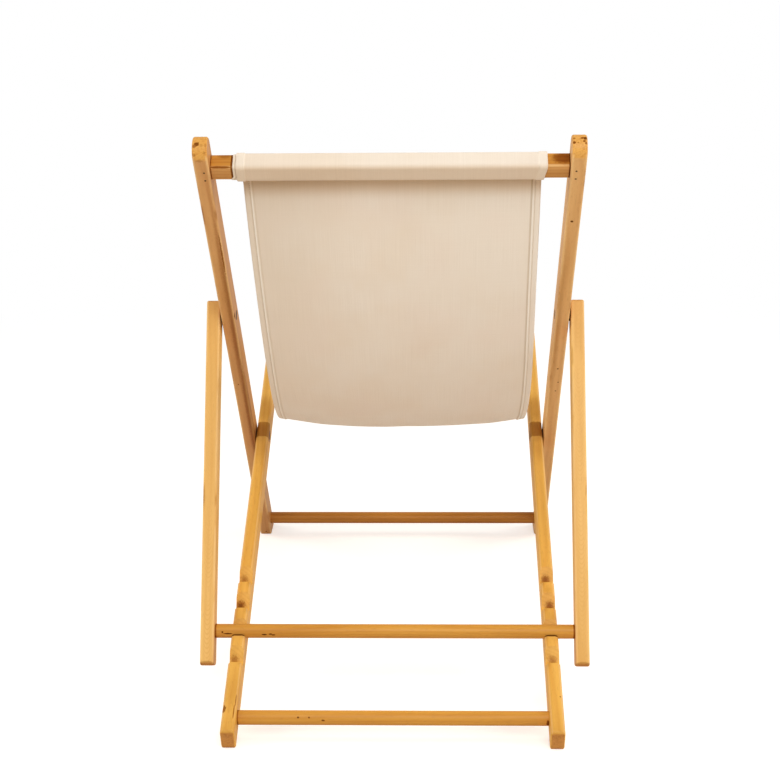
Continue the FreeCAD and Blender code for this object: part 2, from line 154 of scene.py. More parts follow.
class Graph:
    """Shader nodes under construction in a material or a sky."""

    def __init__(self, holder: bpy.types.Material | bpy.types.World) -> None:
        """Start with no nodes.

        Args:
            holder: the material or sky that gets the nodes.
        """
        self.holder = holder
        holder.use_nodes = True
        self.tree = holder.node_tree
        self.tree.nodes.clear()

    @classmethod
    def of_material(cls, name: str) -> "Graph":
        """Start a material of that name."""
        return cls(bpy.data.materials.new(name))

    def node(self, kind: str, settings: dict[str, Any] | None = None,
             sockets: dict[int | str, Any] | None = None, output: int | str = 0) -> Signal:
        """Add a node.

        Args:
            kind: the node's type.
            settings: properties that are set before its sockets.
            sockets: values, or signals to link, by socket index or name.
            output: index or name of the output to hand back.

        Returns:
            The chosen output.
        """
        made = self.tree.nodes.new(kind)
        for name, value in (settings or {}).items():
            setattr(made, name, value)
        for key, value in (sockets or {}).items():
            if isinstance(value, Signal):
                self.tree.links.new(value.socket, made.inputs[key])
            else:
                made.inputs[key].default_value = value
        return Signal(self, made.outputs[output])

    def stretch(self, place: Signal, by: Point, shift: Point = (0.0, 0.0, 0.0)) -> Signal:
        """Scale a place along its axes and shift it."""
        return self.node("ShaderNodeVectorMath", {"operation": "MULTIPLY_ADD"}, {0: place, 1: by, 2: shift})

    def noise(self, place: Signal, scale: float = 1.0, detail: float = 2.0, rough: float = 0.5) -> Signal:
        """Smooth noise from 0 to 1 at a place."""
        return self.node("ShaderNodeTexNoise", {"noise_dimensions": "3D"},
                         {"Vector": place, "Scale": scale, "Detail": detail, "Roughness": rough})

    def specks(self, place: Signal, scale: float, radius: float, share: float) -> Signal:
        """Scattered round specks.

        Args:
            place: where the pattern is read.
            scale: cells per unit length.
            radius: radius of a speck as a share of a cell.
            share: share of the cells that hold one.

        Returns:
            A mask from 0 to 1.
        """
        settings = {"voronoi_dimensions": "3D", "feature": "F1"}
        sockets = {"Vector": place, "Scale": scale, "Randomness": 1.0}
        near = self.node("ShaderNodeTexVoronoi", settings, sockets, "Distance")
        pick = self.node("ShaderNodeTexVoronoi", settings, sockets, "Color")
        chosen = self.node("ShaderNodeSeparateColor", None, {0: pick}, 0)
        return near.rise(radius, radius * 0.45) * chosen.rise(share + 0.02, share)

    def mix(self, share: Signal | float, first: Signal | Colour, second: Signal | Colour,
            way: str = "MIX") -> Signal:
        """Mix two colours.

        Args:
            share: how much of the second colour shows.
            first: a colour or a signal.
            second: a colour or a signal.
            way: blend type of the Mix node.

        Returns:
            The mixed colour.
        """
        sockets = {0: share}
        for key, value in ((6, first), (7, second)):
            sockets[key] = value if isinstance(value, Signal) else (*value, 1.0)
        return self.node("ShaderNodeMix", {"data_type": "RGBA", "blend_type": way}, sockets, 2)

    def split(self, place: Signal) -> tuple[Signal, Signal, Signal]:
        """The three parts of a place.

        Args:
            place: a vector.

        Returns:
            Its parts in order.
        """
        first = self.node("ShaderNodeSeparateXYZ", None, {0: place}, 0)
        node = first.socket.node
        return first, Signal(self, node.outputs[1]), Signal(self, node.outputs[2])

    def bump(self, height: Signal, strength: float, depth: float) -> Signal:
        """Normal of a surface with that height on it."""
        sockets = {"Strength": strength, "Distance": depth, "Height": height}
        return self.node("ShaderNodeBump", None, sockets)

    def finish(self, colour: Signal, rough: Signal, normal: Signal,
               others: dict[str, Any] | None = None) -> bpy.types.Material:
        """Close the material with its Principled shader.

        Args:
            colour: base colour.
            rough: roughness.
            normal: shading normal.
            others: values of the shader's other sockets; a coat may be a signal.

        Returns:
            The finished material.
        """
        sockets = {**(others or {}), "Base Color": colour, "Roughness": rough, "Normal": normal}
        self.close(self.node("ShaderNodeBsdfPrincipled", None, sockets))
        return self.holder

    def close(self, shader: Signal) -> None:
        """Link a shader to the output.

        Args:
            shader: the shader's result.
        """
        of_sky = isinstance(self.holder, bpy.types.World)
        made = self.tree.nodes.new("ShaderNodeOutputWorld" if of_sky else "ShaderNodeOutputMaterial")
        self.tree.links.new(shader.socket, made.inputs["Surface"])


def dress(obj: bpy.types.Object, material: bpy.types.Material) -> None:
    """Give every face of a piece one material."""
    obj.data.materials.clear()
    obj.data.materials.append(material)


@dataclass(frozen=True)
class Pattern:
    """A noise drawn out along the axes of a surface, in cells per metre along each."""

    stretch: Point
    detail: float = 2.0
    rough: float = 0.5

    def on(self, g: Graph, place: Signal, shift: Point = (0.0, 0.0, 0.0)) -> Signal:
        """The noise, from 0 to 1, at a place that is shifted by some cells."""
        return g.noise(g.stretch(place, self.stretch, shift), 1.0, self.detail, self.rough)


@dataclass(frozen=True)
class Mark:
    """A dark knot, crack, stain or scuffed spot on a stick, or a painted shadow, at a place in the stick's
    own frame.

    The frame's axes are across the thickness, along the grain and across the depth, in metres.
    """

    place: Point
    reach: Point
    strength: float = 0.8
    broken: float = 0.5
    soft: float = 0.42

    @classmethod
    def dot(cls, place: Point, radius: float, strength: float = 0.8) -> "Mark":
        """A round spot."""
        return cls(place, (radius, radius, radius), strength, 0.35)

    @classmethod
    def ring(cls, along: float, reach: float, strength: float) -> "Mark":
        """A dark line right round a stick."""
        return cls((0.0, along, 0.0), (0.060, reach, 0.060), strength, 0.12)

    def moved(self, away: float, along: float) -> "Mark":
        """The same mark further across the thickness and along the grain."""
        return replace(self, place=(self.place[0] + away, self.place[1] + along, self.place[2]))


class Lie(Enum):
    """How a stick lies: in the side view, or straight across the chair."""

    SIDE_VIEW = "side view"
    ACROSS = "across"


@dataclass(frozen=True)
class Stick:
    """One straight wooden piece: where its grain runs and how it is marked.

    The angle is the stick's own in the side view, or the roll of a stick that lies across.
    """

    node: str
    origin: Point
    angle: float
    half_thickness: float
    half_depth: float
    lie: Lie = Lie.SIDE_VIEW
    is_round: bool = False
    marks: tuple[Mark, ...] = ()

    def turn(self) -> Point:
        """Rotation, in radians, that takes the stick's own frame to the chair's.

        Returns:
            The angle about each axis.
        """
        if self.lie is Lie.ACROSS:
            return (0.0, math.radians(self.angle), math.radians(-90.0))
        return (math.radians(self.angle), 0.0, 0.0)

    def grain(self) -> Point:
        """Direction of the grain in the chair's frame.

        Returns:
            A vector of length 1.
        """
        if self.lie is Lie.ACROSS:
            return (1.0, 0.0, 0.0)
        return (0.0, math.cos(math.radians(self.angle)), math.sin(math.radians(self.angle)))


class Tint(Enum):
    """Colours of the aged, varnished beech: pale and deep grain of each batch of sticks; the front
    stretcher's is darkened as painted shade of the sling.
    """

    STRUT = ((0.84, 0.505, 0.160), (0.72, 0.390, 0.102))
    SEAT = ((0.83, 0.460, 0.097), (0.70, 0.355, 0.063))
    BACK_LEFT = ((0.68, 0.355, 0.126), (0.530, 0.240, 0.074))
    BACK_RIGHT = ((0.80, 0.468, 0.187), (0.65, 0.340, 0.116))
    BAR = ((0.68, 0.328, 0.054), (0.55, 0.236, 0.034))
    TOP = ((0.68, 0.345, 0.105), (0.52, 0.235, 0.060))
    # Front stretcher: darkened as painted shade of the sling above it.
    BAR_IN_PAINTED_SHADE = ((0.50, 0.208, 0.034), (0.37, 0.136, 0.018))


class EndGrain(Enum):
    """Ends of sticks: slope off the grain where cut fibres start and fill, pale and deep colour."""

    ROUND_TOP = (0.04, 0.30, (0.74, 0.375, 0.075), (0.56, 0.225, 0.036))
    SAWN = (0.74, 0.97, (0.54, 0.225, 0.050), (0.37, 0.132, 0.027))
    EASED = (0.12, 0.60, (0.66, 0.300, 0.080), (0.46, 0.180, 0.045))


@dataclass(frozen=True)
class BeechFinish:
    """Aged beech under worn varnish: rings, fibres, ray flecks, scuffs, rubbed arrises, and marks, some of
    them painted shadows.

    A span is the pair of values of a noise or mask between which a feature sets in.
    """

    tint: Tint
    seed: float
    flecks: float = 0.14
    rings: float = 0.16
    specks: float = 0.10
    flame: float = 0.0
    ends: EndGrain = EndGrain.SAWN
    upper_colour: Colour | None = None
    fleck_colour: Colour = (0.30, 0.125, 0.040)
    stain_and_shade_colour: Colour = (0.44, 0.29, 0.14)
    scuff_and_shade_colour: Colour = (0.075, 0.024, 0.004)
    rubbed_colour: Colour = (0.88, 0.58, 0.260)
    seed_shift: Point = (3.1, 1.7, 2.3)
    wobble: Pattern = Pattern((5.0, 1.6, 5.0))
    figure: Pattern = Pattern((46.0, 2.6, 46.0), 3.0, 0.55)
    patch: Pattern = Pattern((20.0, 9.0, 20.0), 3.0, 0.6)
    fibre: Pattern = Pattern((1500.0, 16.0, 1500.0), 2.0, 0.6)
    dash: Pattern = Pattern((620.0, 95.0, 620.0), 1.0)
    pores: Pattern = Pattern((260.0, 200.0, 260.0), 3.0, 0.65)
    ragged: Pattern = Pattern((420.0, 210.0, 420.0), 3.0, 0.65)
    pith_away: SidePoint = (0.028, 0.012)
    pith_depth: SidePoint = (0.050, 0.014)
    ring_pitch: float = 0.0042
    ring_wobble: float = 0.022
    ring_sharpness: float = 2.5
    end_ring_pitch: float = 0.0021
    figure_span: Span = (0.30, 0.72)
    fleck_span: Span = (0.60, 0.70)
    fibre_share: float = 0.12
    fibre_contrast: float = 0.5
    deep_span: Span = (0.52, 0.78)
    deep_share: float = 0.28
    flame_pitch: float = 0.0075
    flame_bend: float = 250.0
    flame_arc: Span = (0.1, 0.9)
    flame_rim: Span = (0.0080, 0.0045)
    flame_span: Span = (0.34, 0.50)
    pore_span: Span = (0.40, 0.66)
    end_share: float = 0.85
    upper_rim: Span = (0.0035, 0.0010)
    arris_rim: Span = (0.0042, 0.0012)
    rubbed_span: Span = (0.34, 0.52)
    rubbed_share: float = 0.55
    grime_span: Span = (0.40, 0.28)
    grime_share: float = 0.6
    pit_stretch: Point = (1.0, 0.55, 1.0)
    pit_scale: float = 62.0
    pit_radius: float = 0.085
    pit_strength: float = 0.75
    stain_span: Span = (0.0, 0.60)
    scuff_and_shade_span: Span = (0.50, 1.0)
    mark_break: float = 2.2
    mark_rim: float = 0.02
    varnish: float = 0.26
    varnish_loss: float = 0.25
    varnish_rough: float = 0.30
    bump_strength: float = 0.35
    bump_depth: float = 0.0005

    def material(self, stick: Stick) -> bpy.types.Material:
        """Make the finish for one stick, with its grain along the stick.

        Args:
            stick: the piece that the finish goes on.

        Returns:
            The material.
        """
        g = Graph.of_material(f"beech_{stick.node}")
        rest = g.node("ShaderNodeTexCoord", None, None, "Object")
        own = g.node("ShaderNodeMapping", {"vector_type": "TEXTURE"},
                     {"Vector": rest, "Location": stick.origin, "Rotation": stick.turn()})
        away, along, depth = g.split(own)
        shift = tuple(self.seed * step for step in self.seed_shift)
        patch = self.patch.on(g, own, shift)
        fibre = self.fibre.on(g, own, shift)
        ragged = self.ragged.on(g, own, shift)
        fleck = self.dash.on(g, own, shift).rise(*self.fleck_span)
        radius = self._radius(away, depth) + self.wobble.on(g, own, shift) * self.ring_wobble
        ring = ((radius * (FULL_TURN / self.ring_pitch)).sine() * 0.5 + 0.5) ** self.ring_sharpness

        pale, deep = self.tint.value
        colour = g.mix(self.figure.on(g, own, shift).rise(*self.figure_span), pale, deep)
        colour = g.mix(ring * self.rings, colour, deep, "MULTIPLY")
        colour = g.mix((fibre - 0.5) * self.fibre_contrast + self.fibre_share, colour, deep)
        colour = g.mix(fleck * self.flecks, colour, self.fleck_colour)
        colour = g.mix(patch.rise(*self.deep_span) * self.deep_share, colour, deep)
        if self.flame > 0.0:
            colour = g.mix(self._flame(away, along, patch) * self.flame, colour, deep)

        low, high, end_pale, end_deep = self.ends.value
        end = self._end_grain(g, stick, low, high)
        pores = self.pores.on(g, own, shift).rise(*self.pore_span)
        end_ring = (radius * (FULL_TURN / self.end_ring_pitch)).sine() * 0.18 + pores * 0.7
        end_tone = g.mix(end_ring.larger(0.0), end_pale, end_deep)
        colour = g.mix(end * self.end_share, colour, end_tone)

        if self.upper_colour is not None:
            upper = self._near(depth, stick.half_depth, self.upper_rim)
            colour = g.mix(upper, colour, self.upper_colour, "MULTIPLY")
        arris = self._arris(stick, away, depth)
        rubbed = arris * patch.rise(*self.rubbed_span)
        colour = g.mix(rubbed * self.rubbed_share, colour, self.rubbed_colour)
        grime = arris * patch.rise(*self.grime_span)
        colour = g.mix(grime * self.grime_share, colour, self.stain_and_shade_colour, "MULTIPLY")

        drawn = g.stretch(own, self.pit_stretch, shift)
        # Specks and the stick's marks, among them painted shadows, darken the wood.
        scuff_and_shade = g.specks(drawn, self.pit_scale, self.pit_radius, self.specks) * self.pit_strength
        for mark in stick.marks:
            scuff_and_shade = scuff_and_shade.larger(self._mark(mark, away, along, depth, ragged))
        colour = g.mix(scuff_and_shade.rise(*self.stain_span), colour, self.stain_and_shade_colour, "MULTIPLY")
        colour = g.mix(scuff_and_shade.rise(*self.scuff_and_shade_span), colour, self.scuff_and_shade_colour)

        rough = 0.52 + patch * 0.16 + rubbed * 0.14 + end * 0.20 + scuff_and_shade * 0.20
        height = fibre * 0.30 + ring * 0.10 - fleck * 0.25 - scuff_and_shade * 0.8 + ragged * end * 0.5
        normal = g.bump(height, self.bump_strength, self.bump_depth)
        others = {"Coat Weight": self.varnish - scuff_and_shade * self.varnish_loss,
                  "Coat Roughness": self.varnish_rough, "Specular IOR Level": 0.0}
        return g.finish(colour, rough, normal, others)

    def _radius(self, away: Signal, depth: Signal) -> Signal:
        """Distance from the pith, which lies outside the stick at a place that differs with the seed.

        Args:
            away: place across the stick's thickness.
            depth: place across its depth.

        Returns:
            The distance in metres.
        """
        side = away + (self.pith_away[0] + self.pith_away[1] * math.sin(self.seed * 5.0))
        rise = depth + (self.pith_depth[0] + self.pith_depth[1] * math.cos(self.seed * 3.0))
        return (side * side + rise * rise) ** 0.5

    def _flame(self, away: Signal, along: Signal, patch: Signal) -> Signal:
        """Mask of the flame figure: arcs open at the top, in patches down the middle of a face.

        Args:
            away: place across the stick's thickness.
            along: place along its grain.
            patch: noise that keeps the figure to patches.

        Returns:
            A mask from 0 to 1.
        """
        arc = (along - away * away * self.flame_bend) * (FULL_TURN / self.flame_pitch)
        middle = abs(away).rise(*self.flame_rim)
        return arc.sine().rise(*self.flame_arc) * middle * patch.rise(*self.flame_span)

    @staticmethod
    def _end_grain(g: Graph, stick: Stick, low: float, high: float) -> Signal:
        """Mask of the faces that cut across the grain.

        Args:
            g: the material under construction.
            stick: the piece.
            low: slope off the grain at which cut fibres start to show.
            high: slope at which they fill the surface.

        Returns:
            A mask from 0 to 1.
        """
        facing = g.node("ShaderNodeTexCoord", None, None, "Normal")
        lined = g.node("ShaderNodeVectorMath", {"operation": "DOT_PRODUCT"},
                       {0: facing, 1: stick.grain()}, "Value")
        return abs(lined).rise(low, high)

    @staticmethod
    def _near(off: Signal, half: float, rim: Span) -> Signal:
        """Mask of a rim just inside the half size."""
        return off.rise(half - rim[0], half - rim[1])

    def _arris(self, stick: Stick, away: Signal, depth: Signal) -> Signal:
        """Mask of the stick's long rounded edges; none on a round bar.

        Args:
            stick: the piece.
            away: place across its thickness.
            depth: place across its depth.

        Returns:
            A mask from 0 to 1.
        """
        if stick.is_round:
            return away * 0.0
        near_side = self._near(abs(away), stick.half_thickness, self.arris_rim)
        return near_side * self._near(abs(depth), stick.half_depth, self.arris_rim)

    def _mark(self, mark: Mark, away: Signal, along: Signal, depth: Signal, ragged: Signal) -> Signal:
        """Mask of one mark, ragged at its rim.

        Args:
            mark: the mark.
            away: place across the stick's thickness.
            along: place along its grain.
            depth: place across its depth.
            ragged: noise that breaks the rim.

        Returns:
            A mask from 0 to the mark's strength.
        """
        total = None
        for part, centre, reach in zip((away, along, depth), mark.place, mark.reach):
            off = (part - centre) / reach
            total = off * off if total is None else total + off * off
        inside = 1.0 - total ** 0.5
        worn = inside + (ragged - 0.5) * (self.mark_break * mark.broken)
        return worn.rise(self.mark_rim, mark.soft) * mark.strength


@dataclass(frozen=True)
class CanvasFinish:
    """Natural cotton canvas: plain weave, slubs, faint stains and hems, with painted shade next to the
    sleeves, on their lower faces, towards the left and beside the hem ridges, and painted highlights on the
    ridges and the sleeves' turned edges.

    Places across and down the cloth and the insets from its edge are in metres of the flat cloth.
    """

    pale: Colour = (0.845, 0.745, 0.630)
    warm: Colour = (0.800, 0.660, 0.510)
    pink: Colour = (0.830, 0.690, 0.575)
    shade: Colour = (0.560, 0.430, 0.300)
    speck: Colour = (0.300, 0.200, 0.120)
    # Colour of the painted shade next to the sleeves and on their lower faces.
    painted_shade_colour: Colour = (0.790, 0.660, 0.515)
    turned: Colour = (0.900, 0.820, 0.710)
    slub_down: Pattern = Pattern((1150.0, 9.0, 0.0), 2.0, 0.6)
    slub_across: Pattern = Pattern((9.0, 1150.0, 0.0), 2.0, 0.6)
    streak: Pattern = Pattern((60.0, 2.2, 0.0), 3.0, 0.55)
    stain: Pattern = Pattern((7.0, 6.0, 0.0), 3.0, 0.55)
    blush: Pattern = Pattern((11.0, 8.0, 0.0))
    blush_shift: Point = (4.0, 9.0, 2.0)
    # Leans the stains darker towards the left, as painted shade.
    left_shade_lean: float = 0.60
    stain_span: Span = (0.34, 0.70)
    stain_share: float = 0.55
    blush_span: Span = (0.46, 0.72)
    blush_share: float = 0.40
    streak_level: float = 0.36
    streak_share: float = 0.28
    hollow_share: float = 0.16
    right_half: Span = (-0.02, 0.02)
    seam: float = 0.40
    seam_rim: Span = (0.0014, 0.0003)
    edge: float = 0.18
    edge_rim: Span = (0.0022, 0.0004)
    # Painted shade beside the hem ridges.
    painted_lee_shade: float = 0.34
    step_inset: float = 0.0138
    step_rim: Span = (0.0019, 0.0005)
    # Painted highlight on the hem ridges.
    crest_highlight: float = 0.70
    crest_inset: float = 0.0110
    crest_rim: Span = (0.0016, 0.0004)
    # Painted shade over the back's upper left.
    corner: float = 0.32
    top_left_shade_across: Span = (0.03, 0.19)
    top_left_shade_down: Span = (0.60, 0.14)
    # A lighter strip along each sleeve's turned-in hem, and a painted highlight on its edge.
    fold: float = 0.30
    fold_rim: Span = (0.0137, 0.0128)
    fold_edge_highlight: float = 0.45
    fold_edge_highlight_rim: Span = (0.0018, 0.0007)
    spot_scale: float = 21.0
    spot_radius: float = 0.020
    spot_share: float = 0.16
    spots: float = 0.55
    pitch: float = 0.00072
    over_span: Span = (-0.35, 0.35)
    under: float = 0.65
    bump_strength: float = 0.30
    weave_depth: float = 0.00022
    gloss: float = 0.22
    sheen: float = 0.12
    sheen_rough: float = 0.55

    def material(self, name: str, hem_stitch: float) -> bpy.types.Material:
        """Make the canvas.

        Args:
            name: the material's name.
            hem_stitch: distance of the hem's seam from the edge, in metres.

        Returns:
            The material.
        """
        g = Graph.of_material(name)
        flat = g.node("ShaderNodeAttribute", {"attribute_name": "flat_place"}, None, "Vector")
        across, down, _ = g.split(flat)
        weave = self._weave(across, down)
        slub_down = self.slub_down.on(g, flat)
        slub_across = self.slub_across.on(g, flat)
        streak = self.streak.on(g, flat)
        # Stain noise, leaning darker towards the left as painted shade.
        stain = self.stain.on(g, flat) - across * self.left_shade_lean
        blush = self.blush.on(g, flat, self.blush_shift)

        colour = g.mix(stain.rise(*self.stain_span) * self.stain_share, self.pale, self.warm)
        colour = g.mix(blush.rise(*self.blush_span) * self.blush_share, colour, self.pink)
        colour = g.mix((streak - self.streak_level) * self.streak_share, colour, self.warm)
        threads = (slub_down - 0.5) * 0.34 + (slub_across - 0.5) * 0.16 + 0.06
        colour = g.mix(threads, colour, self.shade)
        colour = g.mix((1.0 - weave) * self.hollow_share, colour, self.shade)
        colour = self._sewn(g, flat, colour, hem_stitch)
        level = g.stretch(flat, (1.0, 1.0, 0.0))
        spots = g.specks(level, self.spot_scale, self.spot_radius, self.spot_share)
        colour = g.mix(spots * self.spots, colour, self.speck)

        rough = 0.86 + slub_down * 0.10
        height = weave * 0.8 + slub_down * 0.4 + slub_across * 0.25
        normal = g.bump(height, self.bump_strength, self.weave_depth)
        others = {"Specular IOR Level": self.gloss, "Sheen Weight": self.sheen,
                  "Sheen Roughness": self.sheen_rough}
        return g.finish(colour, rough, normal, others)

    def _weave(self, across: Signal, down: Signal) -> Signal:
        """Height of the plain weave from 0 to 1, with warp and weft on top by turns.

        Args:
            across: place across the flat cloth.
            down: place down the flat cloth.

        Returns:
            The height.
        """
        warp = (across * (math.pi / self.pitch)).sine()
        weft = (down * (math.pi / self.pitch)).sine()
        over = (warp * weft).rise(*self.over_span) * self.under
        return (abs(warp) * (1.0 - self.under + over)).larger(abs(weft) * (1.0 - over))

    def _sewn(self, g: Graph, flat: Signal, colour: Signal, hem_stitch: float) -> Signal:
        """Colour the hems, the seams and the turned-in folds, with their painted shade and highlights, and
        the painted shade next to the sleeves.

        Args:
            g: the material under construction.
            flat: place across and down the flat cloth, and inset from its edge.
            colour: colour of the plain cloth.
            hem_stitch: distance of the hem's seam from the edge, in metres.

        Returns:
            The colour with the sewn parts on it.
        """
        across, down, inset = g.split(flat)
        zone = g.node("ShaderNodeAttribute", {"attribute_name": "zone"}, None, "Vector")
        painted_shade, sewn, ridged = g.split(zone)
        right = across.rise(*self.right_half)
        # Painted shade over the back of the sheet, darker towards its upper left corner.
        corner = (0.0 - across).rise(*self.top_left_shade_across) * down.rise(*self.top_left_shade_down)
        colour = g.mix(corner * ridged * self.corner, colour, self.shade)
        # Painted shade in the seam's groove, and darker along the cut edge.
        seam = abs(inset - hem_stitch).rise(*self.seam_rim)
        edge = inset.rise(*self.edge_rim)
        colour = g.mix((seam * self.seam + edge * self.edge) * sewn, colour, self.shade)
        # Painted shade beside the hem's ridge: at the seam on the left hem, and at the hem's inner step on
        # both, stronger on the right.
        step = abs(inset - self.step_inset).rise(*self.step_rim)
        painted_lee_shade = seam * (1.0 - right) * self.painted_lee_shade + step * (self.painted_lee_shade + right * self.painted_lee_shade)
        colour = g.mix(painted_lee_shade * ridged, colour, self.shade)
        # Painted highlight on the hem's ridge.
        crest_highlight = abs(inset - self.crest_inset).rise(*self.crest_rim)
        colour = g.mix(crest_highlight * ridged * self.crest_highlight, colour, self.turned)
        # A lighter strip along a sleeve's turned-in hem, with a painted highlight on its edge.
        fold = inset.rise(*self.fold_rim) * self.fold + inset.rise(*self.fold_edge_highlight_rim) * self.fold_edge_highlight
        colour = g.mix(fold * (1.0 - sewn), colour, self.turned)
        # Painted shade next to the sleeves and on their lower faces.
        return g.mix(painted_shade, colour, self.painted_shade_colour, "MULTIPLY")


@dataclass(frozen=True)
class ThreadFinish:
    """Twisted cotton sewing thread."""

    pale: Colour = (0.80, 0.70, 0.56)
    dark: Colour = (0.52, 0.41, 0.29)
    fuzz_scale: float = 2600.0
    ply_pitch: float = 0.0007
    bump_strength: float = 0.4
    bump_depth: float = 0.0001
    gloss: float = 0.25
    sheen: float = 0.10

    def material(self, name: str) -> bpy.types.Material:
        """Make the thread with its plies twisted round it.

        Args:
            name: the material's name.

        Returns:
            The material.
        """
        g = Graph.of_material(name)
        rest = g.node("ShaderNodeTexCoord", None, None, "Object")
        fuzz = g.noise(rest, self.fuzz_scale, 2.0, 0.6)
        away, along, up = g.split(rest)
        ply = ((away + along + up) * (FULL_TURN / self.ply_pitch)).sine() * 0.5 + 0.5
        colour = g.mix(ply * 0.5 + fuzz * 0.25, self.pale, self.dark)
        normal = g.bump(ply + fuzz * 0.5, self.bump_strength, self.bump_depth)
        others = {"Specular IOR Level": self.gloss, "Sheen Weight": self.sheen}
        return g.finish(colour, 0.78 + fuzz * 0.15, normal, others)


@dataclass(frozen=True)
class MetalFinish:
    """Browned fastener steel with rust in its hollows and fine scratches."""

    bright: Colour
    tarnish: Colour
    worn: float
    metallic: float = 0.20
    rough: float = 0.60
    cloud_scale: float = 260.0
    cloud_span: Span = (0.42, 0.66)
    scratch: Pattern = Pattern((300.0, 5200.0, 5200.0), 2.0, 0.6)
    bump_strength: float = 0.18
    bump_depth: float = 0.0002
    gloss: float = 0.20

    def material(self, name: str) -> bpy.types.Material:
        """Make the steel of that name.

        Args:
            name: the material's name.

        Returns:
            The material.
        """
        g = Graph.of_material(name)
        rest = g.node("ShaderNodeTexCoord", None, None, "Object")
        cloud = g.noise(rest, self.cloud_scale, 4.0, 0.6)
        scratch = self.scratch.on(g, rest)
        stained = cloud.rise(*self.cloud_span) * (1.0 - self.worn)
        colour = g.mix(stained + scratch * 0.15, self.bright, self.tarnish)
        rough = self.rough + cloud * 0.18 + stained * 0.15
        normal = g.bump(scratch + cloud, self.bump_strength, self.bump_depth)
        others = {"Metallic": self.metallic, "Specular IOR Level": self.gloss}
        return g.finish(colour, rough, normal, others)


@dataclass
class WoodFrame:
    """A frame of sticks that moves as one: its sticks, and the finish of each."""

    name: str
    sticks: list[tuple[Stick, BeechFinish]]

    def dress(self, nodes: dict[str, bpy.types.Object]) -> None:
        """Give each stick its own finish.

        Args:
            nodes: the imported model's objects by node name.
        """
        for stick, finish in self.sticks:
            dress(nodes[stick.node], finish.material(stick))
            log.info("%s: %s dressed in %s beech", self.name, stick.node, finish.tint.name.lower())


def cross_stick(node: str, up: float, at: float, half: SidePoint | None,
                marks: tuple[Mark, ...]) -> Stick:
    """A stick that lies across the chair between two rails.

    Args:
        node: the piece's name.
        up: angle of the rails.
        at: distance along the rails from the main pivot.
        half: half its size off and along the rails, or None for a round bar.
        marks: its marks.

    Returns:
        The stick.
    """
    turn = math.radians(up)
    origin = (0.0, PIVOT[0] + at * math.cos(turn), PIVOT[1] + at * math.sin(turn))
    if half is None:
        return Stick(node, origin, 0.0, BAR_RADIUS, BAR_RADIUS, Lie.ACROSS, True, marks)
    return Stick(node, origin, up - 90.0, *half, Lie.ACROSS, False, marks)


def side_sticks(node: str, centre: float, pivot: SidePoint, up: float, half: SidePoint,
                left: tuple[Mark, ...], right: tuple[Mark, ...]) -> tuple[Stick, Stick]:
    """A stick on each side of the chair.

    Args:
        node: the pieces' name without their side.
        centre: distance of their middle from the chair's middle.
        pivot: side-view place from which they are measured.
        up: their angle.
        half: half their thickness and depth.
        left: marks of the left one.
        right: marks of the right one.

    Returns:
        The left and the right stick.
    """
    return (Stick(f"{node}_left", (-centre, *pivot), up, *half, marks=left),
            Stick(f"{node}_right", (centre, *pivot), up, *half, marks=right))


